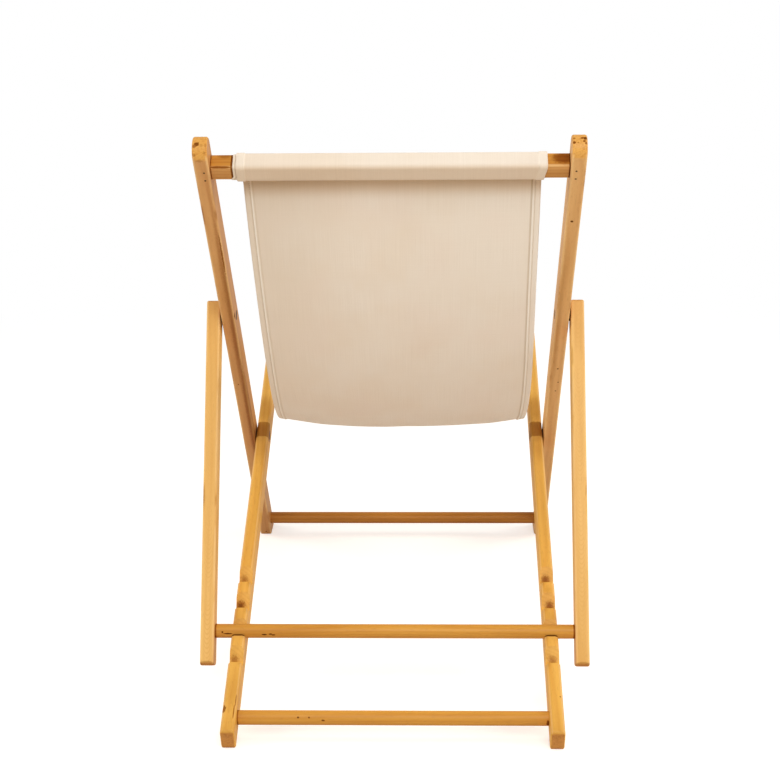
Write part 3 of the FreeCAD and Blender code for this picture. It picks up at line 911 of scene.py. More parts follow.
@dataclass
class BackFrame:
    """The back frame: two round-topped rails, the top rail and the front stretcher."""

    rail_centre: float = 0.274
    stretcher_at: float = -0.311
    top_upper_colour: Colour = (0.94, 0.84, 0.46)
    left_marks: tuple[Mark, ...] = (
        Mark((-0.0035, 0.7984, 0.0048), (0.0048, 0.0036, 0.0042), 0.70, 0.6),
        Mark((-0.0075, 0.7974, 0.0078), (0.0036, 0.0030, 0.0034), 0.42, 0.6),
        Mark((0.0031, 0.7979, 0.0066), (0.0034, 0.0024, 0.0034), 0.24, 0.6),
        Mark((0.0090, 0.7979, 0.0068), (0.0026, 0.0024, 0.0040), 0.24, 0.6),
        Mark((0.0072, 0.7920, 0.0157), (0.0030, 0.0030, 0.0030), 0.24, 0.6),
        Mark((-0.0085, 0.7895, 0.0176), (0.0034, 0.0030, 0.0034), 0.30, 0.6),
        Mark((-0.0010, 0.7800, 0.0209), (0.0080, 0.0030, 0.0030), 0.24, 0.55),
        Mark((0.0085, 0.5600, 0.0190), (0.0022, 0.0900, 0.0035), 0.65, 0.35),
        Mark((0.0100, 0.3950, 0.0160), (0.0030, 0.0120, 0.0040), 0.85, 0.3),
        # Long dark streaks down the rear face's inner arris: partly grain, partly painted shade where the
        # face turns away from the light.
        Mark((0.0085, 0.1000, 0.0200), (0.0085, 0.3300, 0.0160), 0.40, 0.25, 0.7),
        Mark.dot((0.0010, -0.3300, 0.0210), 0.0020, 0.85),
        # Another such streak: partly grain, partly painted shade.
        Mark((0.0060, 0.4000, 0.0210), (0.0080, 0.4500, 0.0120), 0.38, 0.2, 0.9),
    )
    right_marks: tuple[Mark, ...] = (
        Mark((0.0076, 0.7988, -0.0022), (0.0036, 0.0036, 0.0040), 0.78, 0.5),
        Mark((0.0031, 0.7988, -0.0028), (0.0030, 0.0030, 0.0030), 0.60, 0.5),
        Mark.dot((-0.0083, 0.7989, -0.0025), 0.0026, 0.45),
        Mark.dot((-0.0087, 0.7983, 0.0053), 0.0028, 0.72),
        Mark.dot((-0.0028, 0.7984, 0.0052), 0.0018, 0.40),
        Mark.dot((0.0061, 0.7988, 0.0029), 0.0026, 0.55),
        Mark.dot((0.0085, 0.7981, 0.0061), 0.0022, 0.62),
        Mark.dot((-0.0020, 0.6400, 0.0210), 0.0028, 0.85),
        Mark.dot((0.0010, 0.2460, 0.0210), 0.0020, 0.85),
        Mark.dot((0.0040, 0.2050, 0.0210), 0.0017, 0.85),
        Mark.dot((0.0010, 0.1780, 0.0210), 0.0018, 0.85),
        # Long dark streak down the rear face's inner arris: partly grain, partly painted shade.
        Mark((-0.0060, 0.4000, 0.0210), (0.0080, 0.4500, 0.0120), 0.22, 0.2, 0.9),
    )
    top_marks: tuple[Mark, ...] = (
        # Painted shade: dark rings where the top rail meets the lining's end and the two back rails.
        Mark.ring(-0.2312, 0.0022, 0.72),
        Mark.ring(-0.2630, 0.0022, 0.50),
        Mark.ring(0.2630, 0.0026, 0.80),
        Mark((0.0115, -0.2480, 0.0130), (0.0022, 0.0240, 0.0022), 0.60, 0.20),
        Mark((-0.0090, -0.2420, 0.0145), (0.0080, 0.0180, 0.0060), 0.36, 0.20, 0.8),
        Mark((-0.0020, 0.2530, 0.0145), (0.0170, 0.0240, 0.0070), 0.58, 0.20, 0.7),
    )

    def frame(self) -> WoodFrame:
        """The frame's sticks and finishes.

        Returns:
            The frame, ready to be dressed.
        """
        left, right = side_sticks("back_rail", self.rail_centre, PIVOT, BACK_UP, RAIL_HALF,
                                  self.left_marks, self.right_marks)
        top = cross_stick("top_rail", BACK_UP, TOP_RAIL_AT, SLING_RAIL_HALF, self.top_marks)
        bar = cross_stick("front_stretcher", BACK_UP, self.stretcher_at, None, ())
        return WoodFrame("back frame", [
            (left, BeechFinish(Tint.BACK_LEFT, 1.0, ends=EndGrain.ROUND_TOP)),
            (right, BeechFinish(Tint.BACK_RIGHT, 2.0, ends=EndGrain.ROUND_TOP)),
            (top, BeechFinish(Tint.TOP, 3.0, rings=0.24, upper_colour=self.top_upper_colour)),
            (bar, BeechFinish(Tint.BAR_IN_PAINTED_SHADE, 4.0, specks=0.20)),
        ])


@dataclass
class SeatFrame:
    """The seat frame: two notched rails, the front rail and the rear stretcher.

    The darkening in a notch is listed by its place across the rail and its strength, and lies from the
    notch's floor, as the worn facet does.
    """

    rail_centre: float = 0.250
    stretcher_at: float = -0.659
    bar_at: float = -0.4965
    notch_pitch: float = 0.058
    notch_steps: tuple[int, ...] = (-1, 0, 1, 2)
    # Darkening in each notch's floor, by place across the rail and strength.
    left_notch_dark: tuple[SidePoint, ...] = ((-0.0030, 0.44), (0.0, 0.36), (-0.0040, 0.74), (-0.0030, 0.44))
    right_notch_dark: tuple[SidePoint, ...] = ((0.0, 0.40), (0.0, 0.36), (0.0020, 0.62), (-0.0020, 0.64))
    notch_floor_dark: Mark = Mark((0.0, 0.0040, 0.0070), (0.0125, 0.0180, 0.0140), 1.0, 0.35, 0.9)
    notch_facet: Mark = Mark((0.0, -0.0125, 0.0210), (0.0100, 0.0200, 0.0060), 0.24, 0.12, 1.0)
    facet_off: float = 0.0090
    both_marks: tuple[Mark, ...] = (
        # Painted shadow line on the tooth just under the strut bar.
        Mark((0.0, -0.5080, 0.0200), (0.0180, 0.0036, 0.0050), 0.95, 0.10),
        # Painted shadow of the back rail across the seat rail at the crossing.
        Mark((0.0, -0.0068, 0.0210), (0.1000, 0.0222, 0.0300), 0.42, 0.06, 0.15),
        # Painted shade from the canvas on the rail in front of and behind the crossing.
        Mark((0.0, 0.0500, 0.0210), (0.0400, 0.0650, 0.0200), 0.30, 0.12, 0.8),
        Mark((0.0, -0.0600, 0.0210), (0.0400, 0.0700, 0.0200), 0.22, 0.12, 1.0),
        Mark((0.0, -0.7300, 0.0210), (0.0400, 0.1300, 0.0300), 0.22, 0.12, 1.0),
    )
    left_marks: tuple[Mark, ...] = (
        Mark((0.0, -0.6250, 0.0210), (0.0400, 0.0950, 0.0300), 0.22, 0.12, 1.0),
        Mark((-0.0085, -0.6590, 0.0200), (0.0042, 0.0085, 0.0050), 0.66, 0.7),
        Mark((0.0097, -0.6200, 0.0207), (0.0012, 0.0180, 0.0028), 0.50, 0.15),
        Mark((0.0086, -0.6420, 0.0207), (0.0012, 0.0180, 0.0028), 0.50, 0.15),
        Mark((0.0071, -0.6640, 0.0207), (0.0012, 0.0180, 0.0028), 0.50, 0.15),
    )
    right_marks: tuple[Mark, ...] = (
        Mark((0.0, -0.4100, 0.0210), (0.0130, 0.0170, 0.0100), 0.20, 0.3, 1.0),
        Mark.dot((0.0072, -0.6333, 0.0210), 0.0018, 0.75),
        Mark.dot((0.0070, -0.7036, 0.0210), 0.0022, 0.85),
    )
    bar_marks: tuple[Mark, ...] = (
        Mark.dot((0.0098, -0.1449, 0.0056), 0.0020, 0.85),
        Mark.dot((0.0097, -0.1280, 0.0056), 0.0018, 0.75),
        Mark((0.0112, -0.1066, 0.0014), (0.0030, 0.0034, 0.0018), 0.75, 0.5),
        # Painted shade in the gap where the stretcher enters the right seat rail.
        Mark((0.0100, 0.2370, -0.0020), (0.0050, 0.0034, 0.0060), 0.70, 0.3),
        Mark.ring(-0.2390, 0.0030, 0.45),
    )

    def frame(self) -> WoodFrame:
        """The frame's sticks and finishes.

        Returns:
            The frame, ready to be dressed.
        """
        left, right = side_sticks(
            "seat_rail", self.rail_centre, PIVOT, SEAT_UP, RAIL_HALF,
            (*self._notches(-1.0, self.left_notch_dark), *self.both_marks, *self.left_marks),
            (*self._notches(1.0, self.right_notch_dark), *self.both_marks, *self.right_marks))
        front = cross_stick("front_rail", SEAT_UP, FRONT_RAIL_AT, SLING_RAIL_HALF, ())
        bar = cross_stick("rear_stretcher", SEAT_UP, self.stretcher_at, None, self.bar_marks)
        return WoodFrame("seat frame", [
            (left, BeechFinish(Tint.SEAT, 5.0, specks=0.06)),
            (right, BeechFinish(Tint.SEAT, 6.0, specks=0.06)),
            (front, BeechFinish(Tint.TOP, 7.0)),
            (bar, BeechFinish(Tint.BAR, 8.0)),
        ])

    def _notches(self, sign: float, floor_dark: tuple[SidePoint, ...]) -> list[Mark]:
        """Darkening in the floors of a rail's notches, and the worn facet beside each.

        Args:
            sign: -1 on the left rail, 1 on the right one.
            floor_dark: place across the rail and strength of the darkening in each notch's floor.

        Returns:
            The marks.
        """
        marks = []
        for step, (off, strength) in zip(self.notch_steps, floor_dark):
            floor = self.bar_at + step * self.notch_pitch
            marks.append(replace(self.notch_floor_dark, strength=strength).moved(off, floor))
            marks.append(self.notch_facet.moved(-sign * self.facet_off, floor))
        return marks


@dataclass
class StrutFrame:
    """The strut frame: two struts with rounded ends and the bar that drops into the notches."""

    strut_centre: float = 0.299
    bar: SidePoint = (-0.275441, 0.109083)
    foot: Mark = Mark((0.0, -0.5720, 0.0160), (0.0170, 0.0085, 0.0170), 0.30, 0.15, 0.3)
    top: Mark = Mark((0.0, -0.0350, 0.0185), (0.0400, 0.0850, 0.0200), 0.14, 0.12, 1.0)
    left_top_strength: float = 0.04
    bar_marks: tuple[Mark, ...] = (
        Mark((0.0110, -0.2665, 0.0006), (0.0030, 0.0090, 0.0014), 0.90, 0.4),
        Mark.dot((0.0108, -0.2755, 0.0030), 0.0020, 0.85),
        Mark((0.0112, -0.2085, -0.0010), (0.0030, 0.0050, 0.0016), 0.95, 0.5),
        Mark((0.0112, -0.1985, -0.0002), (0.0030, 0.0030, 0.0015), 0.95, 0.5),
        Mark((0.0111, -0.1935, -0.0017), (0.0030, 0.0034, 0.0016), 0.85, 0.5),
        Mark.ring(-0.2870, 0.0022, 0.55),
        Mark.ring(0.2870, 0.0022, 0.55),
    )

    def frame(self) -> WoodFrame:
        """The frame's sticks and finishes.

        Returns:
            The frame, ready to be dressed.
        """
        left_top = replace(self.top, strength=self.left_top_strength)
        left, right = side_sticks("strut", self.strut_centre, STRUT_PIVOT, STRUT_UP, STRUT_HALF,
                                  (self.foot, left_top), (self.foot, self.top))
        finish = BeechFinish(Tint.STRUT, 9.0, flecks=0.10, rings=0.12, specks=0.03, flame=0.62,
                             ends=EndGrain.EASED)
        bar = Stick("strut_bar", (0.0, *self.bar), 0.0, BAR_RADIUS, BAR_RADIUS, Lie.ACROSS, True,
                    self.bar_marks)
        return WoodFrame("strut frame", [
            (left, finish),
            (right, replace(finish, seed=10.0)),
            (bar, BeechFinish(Tint.BAR, 11.0, specks=0.08)),
        ])


@dataclass
class Fasteners:
    """Rivets, washers, burrs and brads."""

    steel: MetalFinish = MetalFinish((0.11, 0.058, 0.028), (0.05, 0.022, 0.009), 0.25)
    iron: MetalFinish = MetalFinish((0.050, 0.026, 0.014), (0.022, 0.011, 0.006), 0.10)
    steel_nodes: tuple[str, ...] = ("main_pivot_rivets", "main_pivot_washers", "main_pivot_burrs",
                                    "strut_pivot_rivets", "strut_pivot_washers", "strut_pivot_burrs")
    iron_nodes: tuple[str, ...] = ("top_rail_brads", "front_rail_brads")

    def dress(self, nodes: dict[str, bpy.types.Object]) -> None:
        """Give the fasteners their metal.

        Args:
            nodes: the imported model's objects by node name.
        """
        for finish, name, group in ((self.steel, "rivet_steel", self.steel_nodes),
                                    (self.iron, "brad_iron", self.iron_nodes)):
            material = finish.material(name)
            for node in group:
                dress(nodes[node], material)
                log.info("fasteners: %s dressed in %s", node, name)


class HangingLine:
    """Curve of a limp sheet of a given length between two points of the side view."""

    SEARCHED: Span = (1e-6, 10.0)
    HALVINGS = 60

    def __init__(self, start: SidePoint, end: SidePoint, length: float) -> None:
        """Find the hanging curve by halving an interval.

        Args:
            start: side-view point at which the sheet starts.
            end: side-view point at which it ends.
            length: its length.
        """
        rise = end[1] - start[1]
        span = end[0] - start[0]
        target = math.sqrt(length ** 2 - rise ** 2) / span
        low, high = self.SEARCHED
        for _ in range(self.HALVINGS):
            guess = (low + high) / 2
            if math.sinh(guess) / guess < target:
                low = guess
            else:
                high = guess
        self.length = length
        self.scale = span / (2 * low)
        first = math.atanh(rise / length) - low
        self.lowest_y = start[0] - self.scale * first
        self.base_z = start[1] - self.scale * math.cosh(first)
        self.to_lowest = -self.scale * math.sinh(first)

    def slope(self, travel: float) -> float:
        """Angle of the sheet, in radians, after a length of travel from its start."""
        return math.atan((travel - self.to_lowest) / self.scale)

    def point(self, travel: float) -> SidePoint:
        """Side-view point after a length of travel.

        Args:
            travel: length along the sheet from its start.

        Returns:
            The point.
        """
        past = travel - self.to_lowest
        return (self.lowest_y + self.scale * math.asinh(past / self.scale),
                self.base_z + math.hypot(self.scale, past))


@dataclass(frozen=True)
class SlingRail:
    """A rail that a sleeve goes round, in the frame of the rails that carry it."""

    up: float
    at: float
    sheet_side: float
    half_height: float = SLING_RAIL_HALF[1]
    half_depth: float = SLING_RAIL_HALF[0]
    ease: float = 0.0040
    clearance: float = 0.0016

    def place(self, along: float, across: float) -> SidePoint:
        """Side-view point from a place along and across the carrying rails.

        Args:
            along: distance along them from this rail's middle.
            across: distance across them.

        Returns:
            The point.
        """
        turn = math.radians(self.up)
        along += self.at
        return (PIVOT[0] + along * math.cos(turn) - across * math.sin(turn),
                PIVOT[1] + along * math.sin(turn) + across * math.cos(turn))

    def world(self, direction: float) -> SidePoint:
        """Unit side-view vector of a direction given from the carrying rails, in radians."""
        turn = math.radians(self.up) + direction
        return (math.cos(turn), math.sin(turn))

    @property
    def radius(self) -> float:
        """Radius of the middle of the cloth at the rail's rounded edges."""
        return self.ease + self.clearance

    def corner(self, along_sign: float, across_sign: float) -> SidePoint:
        """Centre of a rounded edge, along and across the carrying rails."""
        return (along_sign * (self.half_height - self.ease), across_sign * (self.half_depth - self.ease))

    def leaving(self, slope: float) -> SidePoint:
        """Point where a sheet of that slope leaves the sleeve.

        Args:
            slope: angle of the sheet in radians.

        Returns:
            The side-view point.
        """
        along, across = self.corner(-1.0, self.sheet_side)
        centre = self.place(along, across)
        return (centre[0] - self.radius * math.sin(slope), centre[1] + self.radius * math.cos(slope))


@dataclass
class Row:
    """One line across the cloth: its place in the side view and how the cloth lies there."""

    place: SidePoint
    normal: SidePoint
    travel: float
    left: float
    right: float
    hem_face: float
    hem_back: float
    free: float
    # How much painted shade the cloth gets there.
    painted_shade: float
    sewn: float


@dataclass(frozen=True)
class Column:
    """One line down the cloth, at a place across it from -1 to 1.

    A column in a hem keeps its distance from the near edge. One in the body keeps its share of the way
    from the left hem to the right one.
    """

    place: float
    inset: float | None = None
    share: float = 0.0


@dataclass(frozen=True)
class SideEdge:
    """How far one side of the cloth reaches from the chair's middle."""

    sleeve: float
    sheet: float
    waist: float
    power: float

    def reach(self, share: float, flare: float) -> float:
        """Distance of the edge from the middle at a share of the sheet's length."""
        waist = self.waist * math.sin(math.pi * share) ** self.power
        return self.sheet - waist + flare * (self.sleeve - self.sheet)


@dataclass
class Sling:
    """The canvas sling: one cloth with a sleeve round each sling rail and a hem along each side."""

    top: SlingRail = SlingRail(BACK_UP, TOP_RAIL_AT, -1.0)
    front: SlingRail = SlingRail(SEAT_UP, FRONT_RAIL_AT, 1.0)
    left: SideEdge = SideEdge(0.2254, 0.2205, 0.0075, 1.2)
    right: SideEdge = SideEdge(0.2300, 0.2237, -0.0030, 6.0)
    middle_length: float = 0.990
    edge_length: float = 0.969
    blend_start: Point = (0.0, 0.080, 0.340)
    blend_end: Point = (0.0, 0.320, 0.325)
    half_thickness: float = 0.00065
    edge_thinness: float = 0.45
    edge_round: float = 0.0012
    hem_height: float = 0.00105
    hem_width: float = 0.0130
    hem_round: float = 0.0014
    hem_slack: float = 0.0005
    hem_end: SidePoint = (0.0008, 0.0009)
    hem_stitch: float = 0.0084
    groove: float = 0.62
    groove_width: float = 0.0006
    ridge: float = 0.42
    ridge_inset: float = 0.0108
    ridge_width: float = 0.0011
    strip_start: float = 0.0085
    strip_tuck: float = 0.0045
    strip_length: float = 0.0140
    strip_gap: float = 0.0021
    flare_length: float = 0.030
    sheet_hem_face: float = 0.45
    sheet_hem_back: SidePoint = (0.25, 1.0)
    sleeve_hem_back: float = 0.15
    strip_hem_face: float = 0.6
    strip_hem_back: float = 0.10
    hem_opening: SidePoint = (0.020, 0.020)
    free_opening: SidePoint = (0.010, 0.12)
    flute_heights: SidePoint = (0.0006, 0.0004)
    flute_fall: float = 2.2
    flute_rest: float = 0.35
    swell_height: float = 0.0013
    settling: int = 8
    row_crowding: float = 0.55
    sheet_rows: int = 118
    corner_rows: int = 7
    flat_rows: int = 5
    strip_rows: int = 6
    strip_seams: tuple[int, ...] = (2, 5)
    sheet_seams: tuple[int, ...] = (3, 6)
    stitch_pitch: float = 0.0034
    stitch_length: float = 0.0025
    stitch_radius: float = 0.00030
    stitch_sides: int = 5
    stitch_profile: tuple[Point, ...] = ((-0.5, 0.25, -0.5), (-0.32, 0.95, 0.25), (0.32, 0.95, 0.25),
                                         (0.5, 0.25, -0.5))
    lining_end: float = -0.2300
    lining_width: float = 0.0160
    lining_rim: tuple[SidePoint, ...] = ((0.0004, 0.8), (0.0015, 1.0))
    lining_clearance: float = 0.0006
    lining_half_thickness: float = 0.00040
    lining_flare: float = 0.0034
    lining_flare_at: float = 0.005
    lining_gap: float = 0.0040
    lining_step: float = 0.003
    sleeve_slant: float = 0.0042
    # Painted shade on the sheet next to each sleeve, on the sleeves' lower faces and on the lining's.
    painted_shade_start: float = 0.0260
    painted_shade_reach: float = 0.0360
    sleeve_painted_shade: float = 0.66
    lining_painted_shade: float = 0.40
    hem_steps: tuple[float, ...] = (0.0, 0.0005, 0.0012, 0.0026, 0.0045, 0.0062, 0.0073, 0.0080, 0.0084,
                                    0.0088, 0.0095, 0.0104, 0.0114, 0.0122, 0.0127, 0.0131, 0.0140, 0.0160,
                                    0.0200)
    body_columns: int = 27
    finish: CanvasFinish = CanvasFinish()
    # The lining's strong seam line is a painted shadow in the gap beside the sleeve's end.
    lining_finish: CanvasFinish = CanvasFinish(pale=(0.88, 0.80, 0.69), warm=(0.84, 0.73, 0.59), seam=0.85)
    thread: ThreadFinish = ThreadFinish()

    def build(self) -> None:
        """Make the sling, its stitches and its lining round the sling rails, and hide the model's own sling
        pieces.
        """
        columns = self._columns()
        grid = [self._path(column.place) for column in columns]
        face, back, flat, zone = self._surfaces(columns, grid)
        cloth = self._cloth(face, back, flat, zone)
        dress(cloth, self.finish.material("sling_canvas", self.hem_stitch))
        stitches = self._stitches(columns, face, back)
        dress(stitches, self.thread.material("sling_thread"))
        lining = self._lining()
        dress(lining, self.lining_finish.material("sling_lining_canvas", self.lining_gap))
        for piece in (cloth, stitches, lining):
            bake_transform(piece)
        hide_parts("sling_back", "sling_seat")
        size = self.flat_size(grid)
        log.info("sling: cut %.3f by %.3f m, %d vertices", *size, len(cloth.data.vertices))
        log.info("sling stitches: %d vertices", len(stitches.data.vertices))
        log.info("sling lining: %d vertices", len(lining.data.vertices))

    def flat_size(self, grid: list[list[Row]]) -> tuple[float, float]:
        """Width and length of the cloth as cut, hems not turned in.

        Args:
            grid: the rows of each column.

        Returns:
            Both in metres.
        """
        middle = grid[len(grid) // 2]
        length = middle[-1].travel - middle[0].travel
        return (round(self.left.sleeve + self.right.sleeve, 4), round(length, 4))

    def _columns(self) -> list[Column]:
        """Lines down the cloth from left to right.

        Returns:
            The columns of the left hem, the body and the right hem.
        """
        width = self.right.sheet
        inner = (width - self.hem_steps[-1]) / width
        left = [Column((step - width) / width, step) for step in self.hem_steps]
        right = [Column(-column.place, column.inset) for column in reversed(left)]
        shares = [i / self.body_columns for i in range(1, self.body_columns)]
        body = [Column((2.0 * share - 1.0) * inner, None, share) for share in shares]
        return left + body + right

    def _column_x(self, column: Column, row: Row) -> float:
        """Distance across the chair of a column on one row.

        Args:
            column: the column.
            row: the row.

        Returns:
            The distance from the chair's middle.
        """
        if column.inset is not None:
            return row.right - column.inset if column.place > 0.0 else column.inset - row.left
        margin = self.hem_steps[-1]
        return margin - row.left + column.share * (row.left + row.right - 2 * margin)

    def _hanging(self, place: float) -> HangingLine:
        """Hanging line of a column, fuller along the middle of the chair than at its hems.

        Args:
            place: place across the cloth from -1 to 1.

        Returns:
            The line.
        """
        length = self.edge_length + (1 - place ** 2) * (self.middle_length - self.edge_length)
        start_slope = -math.radians(90.0 - SEAT_UP)
        end_slope = math.radians(180.0 - BACK_UP)
        for _ in range(self.settling):
            line = HangingLine(self.top.leaving(start_slope), self.front.leaving(end_slope), length)
            start_slope = line.slope(0.0)
            end_slope = line.slope(length)
        return line

    def _path(self, place: float) -> list[Row]:
        """Rows of one column, from the free end in the top sleeve to the one in the front sleeve.

        Args:
            place: place across the cloth from -1 to 1.

        Returns:
            The rows in order.
        """
        line = self._hanging(place)
        top = self._sleeve(self.top, line, 0.0, 1.0)
        front = self._sleeve(self.front, line, line.length, -1.0)
        sheet = []
        for i in range(1, self.sheet_rows):
            share = i / self.sheet_rows
            eased = share - self.row_crowding * math.sin(FULL_TURN * share) / FULL_TURN
            sheet.append(self._sheet_row(line, eased * line.length))
        rows = list(reversed(top)) + sheet + front
        travel = 0.0
        for before, row in zip(rows, rows[1:]):
            travel += math.dist(before.place, row.place)
            row.travel = travel
        return rows

    def _sheet_row(self, line: HangingLine, travel: float) -> Row:
        """Row of the hanging sheet after a length of travel.

        Args:
            line: hanging line of the column.
            travel: length of travel from the line's start.

        Returns:
            The row.
        """
        slope = line.slope(travel)
        share = travel / line.length
        near = min(travel, line.length - travel)
        flare = 1.0 - self._ease(near / self.flare_length)
        opened = self._ease((near - self.hem_opening[0]) / self.hem_opening[1])
        free = self._ease((near - self.free_opening[0]) / self.free_opening[1])
        # Painted shade on the sheet, fading away from the sleeve.
        painted_shade = 1.0 - self._ease((near - self.painted_shade_start) / self.painted_shade_reach)
        shut, full = self.sheet_hem_back
        return Row(line.point(travel), (-math.sin(slope), math.cos(slope)), 0.0,
                   self.left.reach(share, flare), self.right.reach(share, flare),
                   hem_face=self.sheet_hem_face, hem_back=shut + (full - shut) * opened,
                   free=free, painted_shade=painted_shade, sewn=1.0)

    @staticmethod
    def _ease(share: float) -> float:
        """Smooth step from 0 to 1."""
        share = min(1.0, max(0.0, share))
        return share * share * (3.0 - 2.0 * share)

    def _sleeve(self, rail: SlingRail, line: HangingLine, travel: float, way: float) -> list[Row]:
        """Rows of a sleeve from the sheet, round its rail, to the strip sewn to the sheet.

        Args:
            rail: the rail that the sleeve goes round.
            line: hanging line of the column.
            travel: length of travel at which the sheet leaves the sleeve.
            way: 1 where the sheet's travel leads away from the rail, -1 where it leads to it.

        Returns:
            The rows, from the sheet outwards.
        """
        side = rail.sheet_side
        slope = line.slope(travel)
        normal = slope + QUARTER_TURN - math.radians(rail.up)
        leave = math.atan2(side * math.sin(normal), math.cos(normal))
        corners = (
            (rail.corner(-1.0, side), leave, QUARTER_TURN),
            (rail.corner(1.0, side), QUARTER_TURN, 0.0),
            (rail.corner(1.0, -side), 0.0, -QUARTER_TURN),
            (rail.corner(-1.0, -side), -QUARTER_TURN, -math.pi),
        )
        turns = []
        for centre, first, last in corners:
            for i in range(self.corner_rows + 1):
                turns.append((centre, first + (last - first) * i / self.corner_rows))
        places = []
        for (centre, turn), (next_centre, _) in zip(turns, turns[1:] + turns[-1:]):
            spot = (centre[0] + rail.radius * math.cos(turn),
                    centre[1] + side * rail.radius * math.sin(turn))
            places.append((spot, turn))
            if next_centre != centre:
                far = (next_centre[0] + rail.radius * math.cos(turn),
                       next_centre[1] + side * rail.radius * math.sin(turn))
                for i in range(1, self.flat_rows):
                    share = i / self.flat_rows
                    between = (spot[0] + share * (far[0] - spot[0]), spot[1] + share * (far[1] - spot[1]))
                    places.append((between, turn))
        rows = [self._sleeve_row(rail, spot, turn) for spot, turn in places]
        return rows + self._strip(rail, line, travel, way, places[-1][0])

    def _sleeve_row(self, rail: SlingRail, spot: SidePoint, turn: float) -> Row:
        """Row of a sleeve at a spot of the carrying rails' frame, facing a turn round the rail.

        Args:
            rail: the rail that the sleeve goes round.
            spot: place along and across the carrying rails.
            turn: angle that the cloth faces, in radians.

        Returns:
            The row.
        """
        below = self._ease((rail.half_height - spot[0]) / (2 * rail.half_height)) if turn < 0.0 else 0.0
        # Painted shade on the sleeve's lower faces.
        painted_shade = self.sleeve_painted_shade * self._ease(-turn / QUARTER_TURN)
        return Row(rail.place(*spot), rail.world(rail.sheet_side * turn), 0.0, self.left.sleeve,
                   self.right.sleeve - self.sleeve_slant * below,
                   hem_face=1.0, hem_back=self.sleeve_hem_back, free=0.0, painted_shade=painted_shade, sewn=0.0)

    def _strip(self, rail: SlingRail, line: HangingLine, travel: float, way: float,
               last: SidePoint) -> list[Row]:
        """Rows from a sleeve's last edge to the end of the strip that is sewn to the sheet.

        Args:
            rail: the rail that the sleeve goes round.
            line: hanging line of the column.
            travel: length of travel at which the sheet leaves the sleeve.
            way: 1 where the sheet's travel leads away from the rail, -1 where it leads to it.
            last: last spot of the sleeve, along and across the carrying rails.

        Returns:
            The rows in order.
        """
        rows = []
        # The hidden strip gets the full painted shade.
        hidden = {"hem_face": self.strip_hem_face, "hem_back": self.strip_hem_back,
                  "free": 0.0, "painted_shade": 1.0, "sewn": 0.0}
        first_travel = travel + way * self.strip_start
        seam = self._under_sheet(line, first_travel)
        begin = rail.place(*last)
        corner = rail.place(last[0], rail.sheet_side * (rail.half_depth - self.strip_tuck))
        steps = 2 * self.strip_rows
        outward = rail.world(rail.sheet_side * -math.pi)
        sheet_normal = self._sheet_row(line, first_travel).normal
        for i in range(1, steps):
            share = i / steps
            a, b, c = (1 - share) ** 2, 2 * share * (1 - share), share ** 2
            spot = tuple(a * p + b * q + c * r for p, q, r in zip(begin, corner, seam))
            blend = self._ease(share)
            facing = Vector(outward) * (1 - blend) - Vector(sheet_normal) * blend
            facing.normalize()
            rows.append(Row(spot, tuple(facing), 0.0, self.left.sleeve,
                            self.right.sleeve - self.sleeve_slant, **hidden))
        for i in range(self.strip_rows + 1):
            at = first_travel + way * self.strip_length * i / self.strip_rows
            beside = self._sheet_row(line, at)
            rows.append(Row(self._under_sheet(line, at), (-beside.normal[0], -beside.normal[1]), 0.0,
                            beside.left, beside.right, **hidden))
        return rows

    def _under_sheet(self, line: HangingLine, travel: float) -> SidePoint:
        """Point of a strip that lies against the back of the sheet.

        Args:
            line: hanging line of the column.
            travel: length of travel from the line's start.

        Returns:
            The side-view point.
        """
        slope = line.slope(travel)
        y, z = line.point(travel)
        return (y + self.strip_gap * math.sin(slope), z - self.strip_gap * math.cos(slope))

    def _hem(self, inset: float, sewn: float) -> float:
        """Height of the turned-in hem as a share of the full height.

        Args:
            inset: distance from the cloth's edge.
            sewn: 1 where the hem is stitched down and ridged, 0 on a sleeve.

        Returns:
            The share.
        """
        if inset >= self.hem_width + self.hem_slack:
            return 0.0
        rounded = math.sqrt(min(1.0, max(0.0, inset) / self.hem_round))
        ridge = self.ridge * math.exp(-(((inset - self.ridge_inset) / self.ridge_width) ** 2))
        groove = self.groove * math.exp(-(((inset - self.hem_stitch) / self.groove_width) ** 2))
        end = 1.0 - self._ease((inset - self.hem_width + self.hem_end[0]) / self.hem_end[1])
        return (rounded + (ridge - groove) * sewn) * end

    def _edge(self, inset: float) -> float:
        """Half thickness of one layer of cloth, rounded off at its edge."""
        full = math.sqrt(min(1.0, inset / self.edge_round))
        return self.half_thickness * (self.edge_thinness + (1.0 - self.edge_thinness) * full)

    def _ripple(self, x: float, row: Row, share: float) -> float:
        """Slow waves that a limp canvas keeps, in metres off the hanging line.

        Args:
            x: distance across the chair.
            row: the row.
            share: share of the way down the cloth.

        Returns:
            The distance off the line.
        """
        from_top = max(0.0, 1.0 - share * self.flute_fall)
        wide, narrow = self.flute_heights
        flutes = math.sin(x * 62.0 + 0.8) * wide + math.sin(x * 104.0 - 1.1 + 2.0 * share) * narrow
        swell = math.sin(x * 21.0 + 5.2 * share + 0.6) * math.sin(7.0 * share + 0.4) * self.swell_height
        return row.free * (flutes * (self.flute_rest + (1.0 - self.flute_rest) * from_top) + swell)

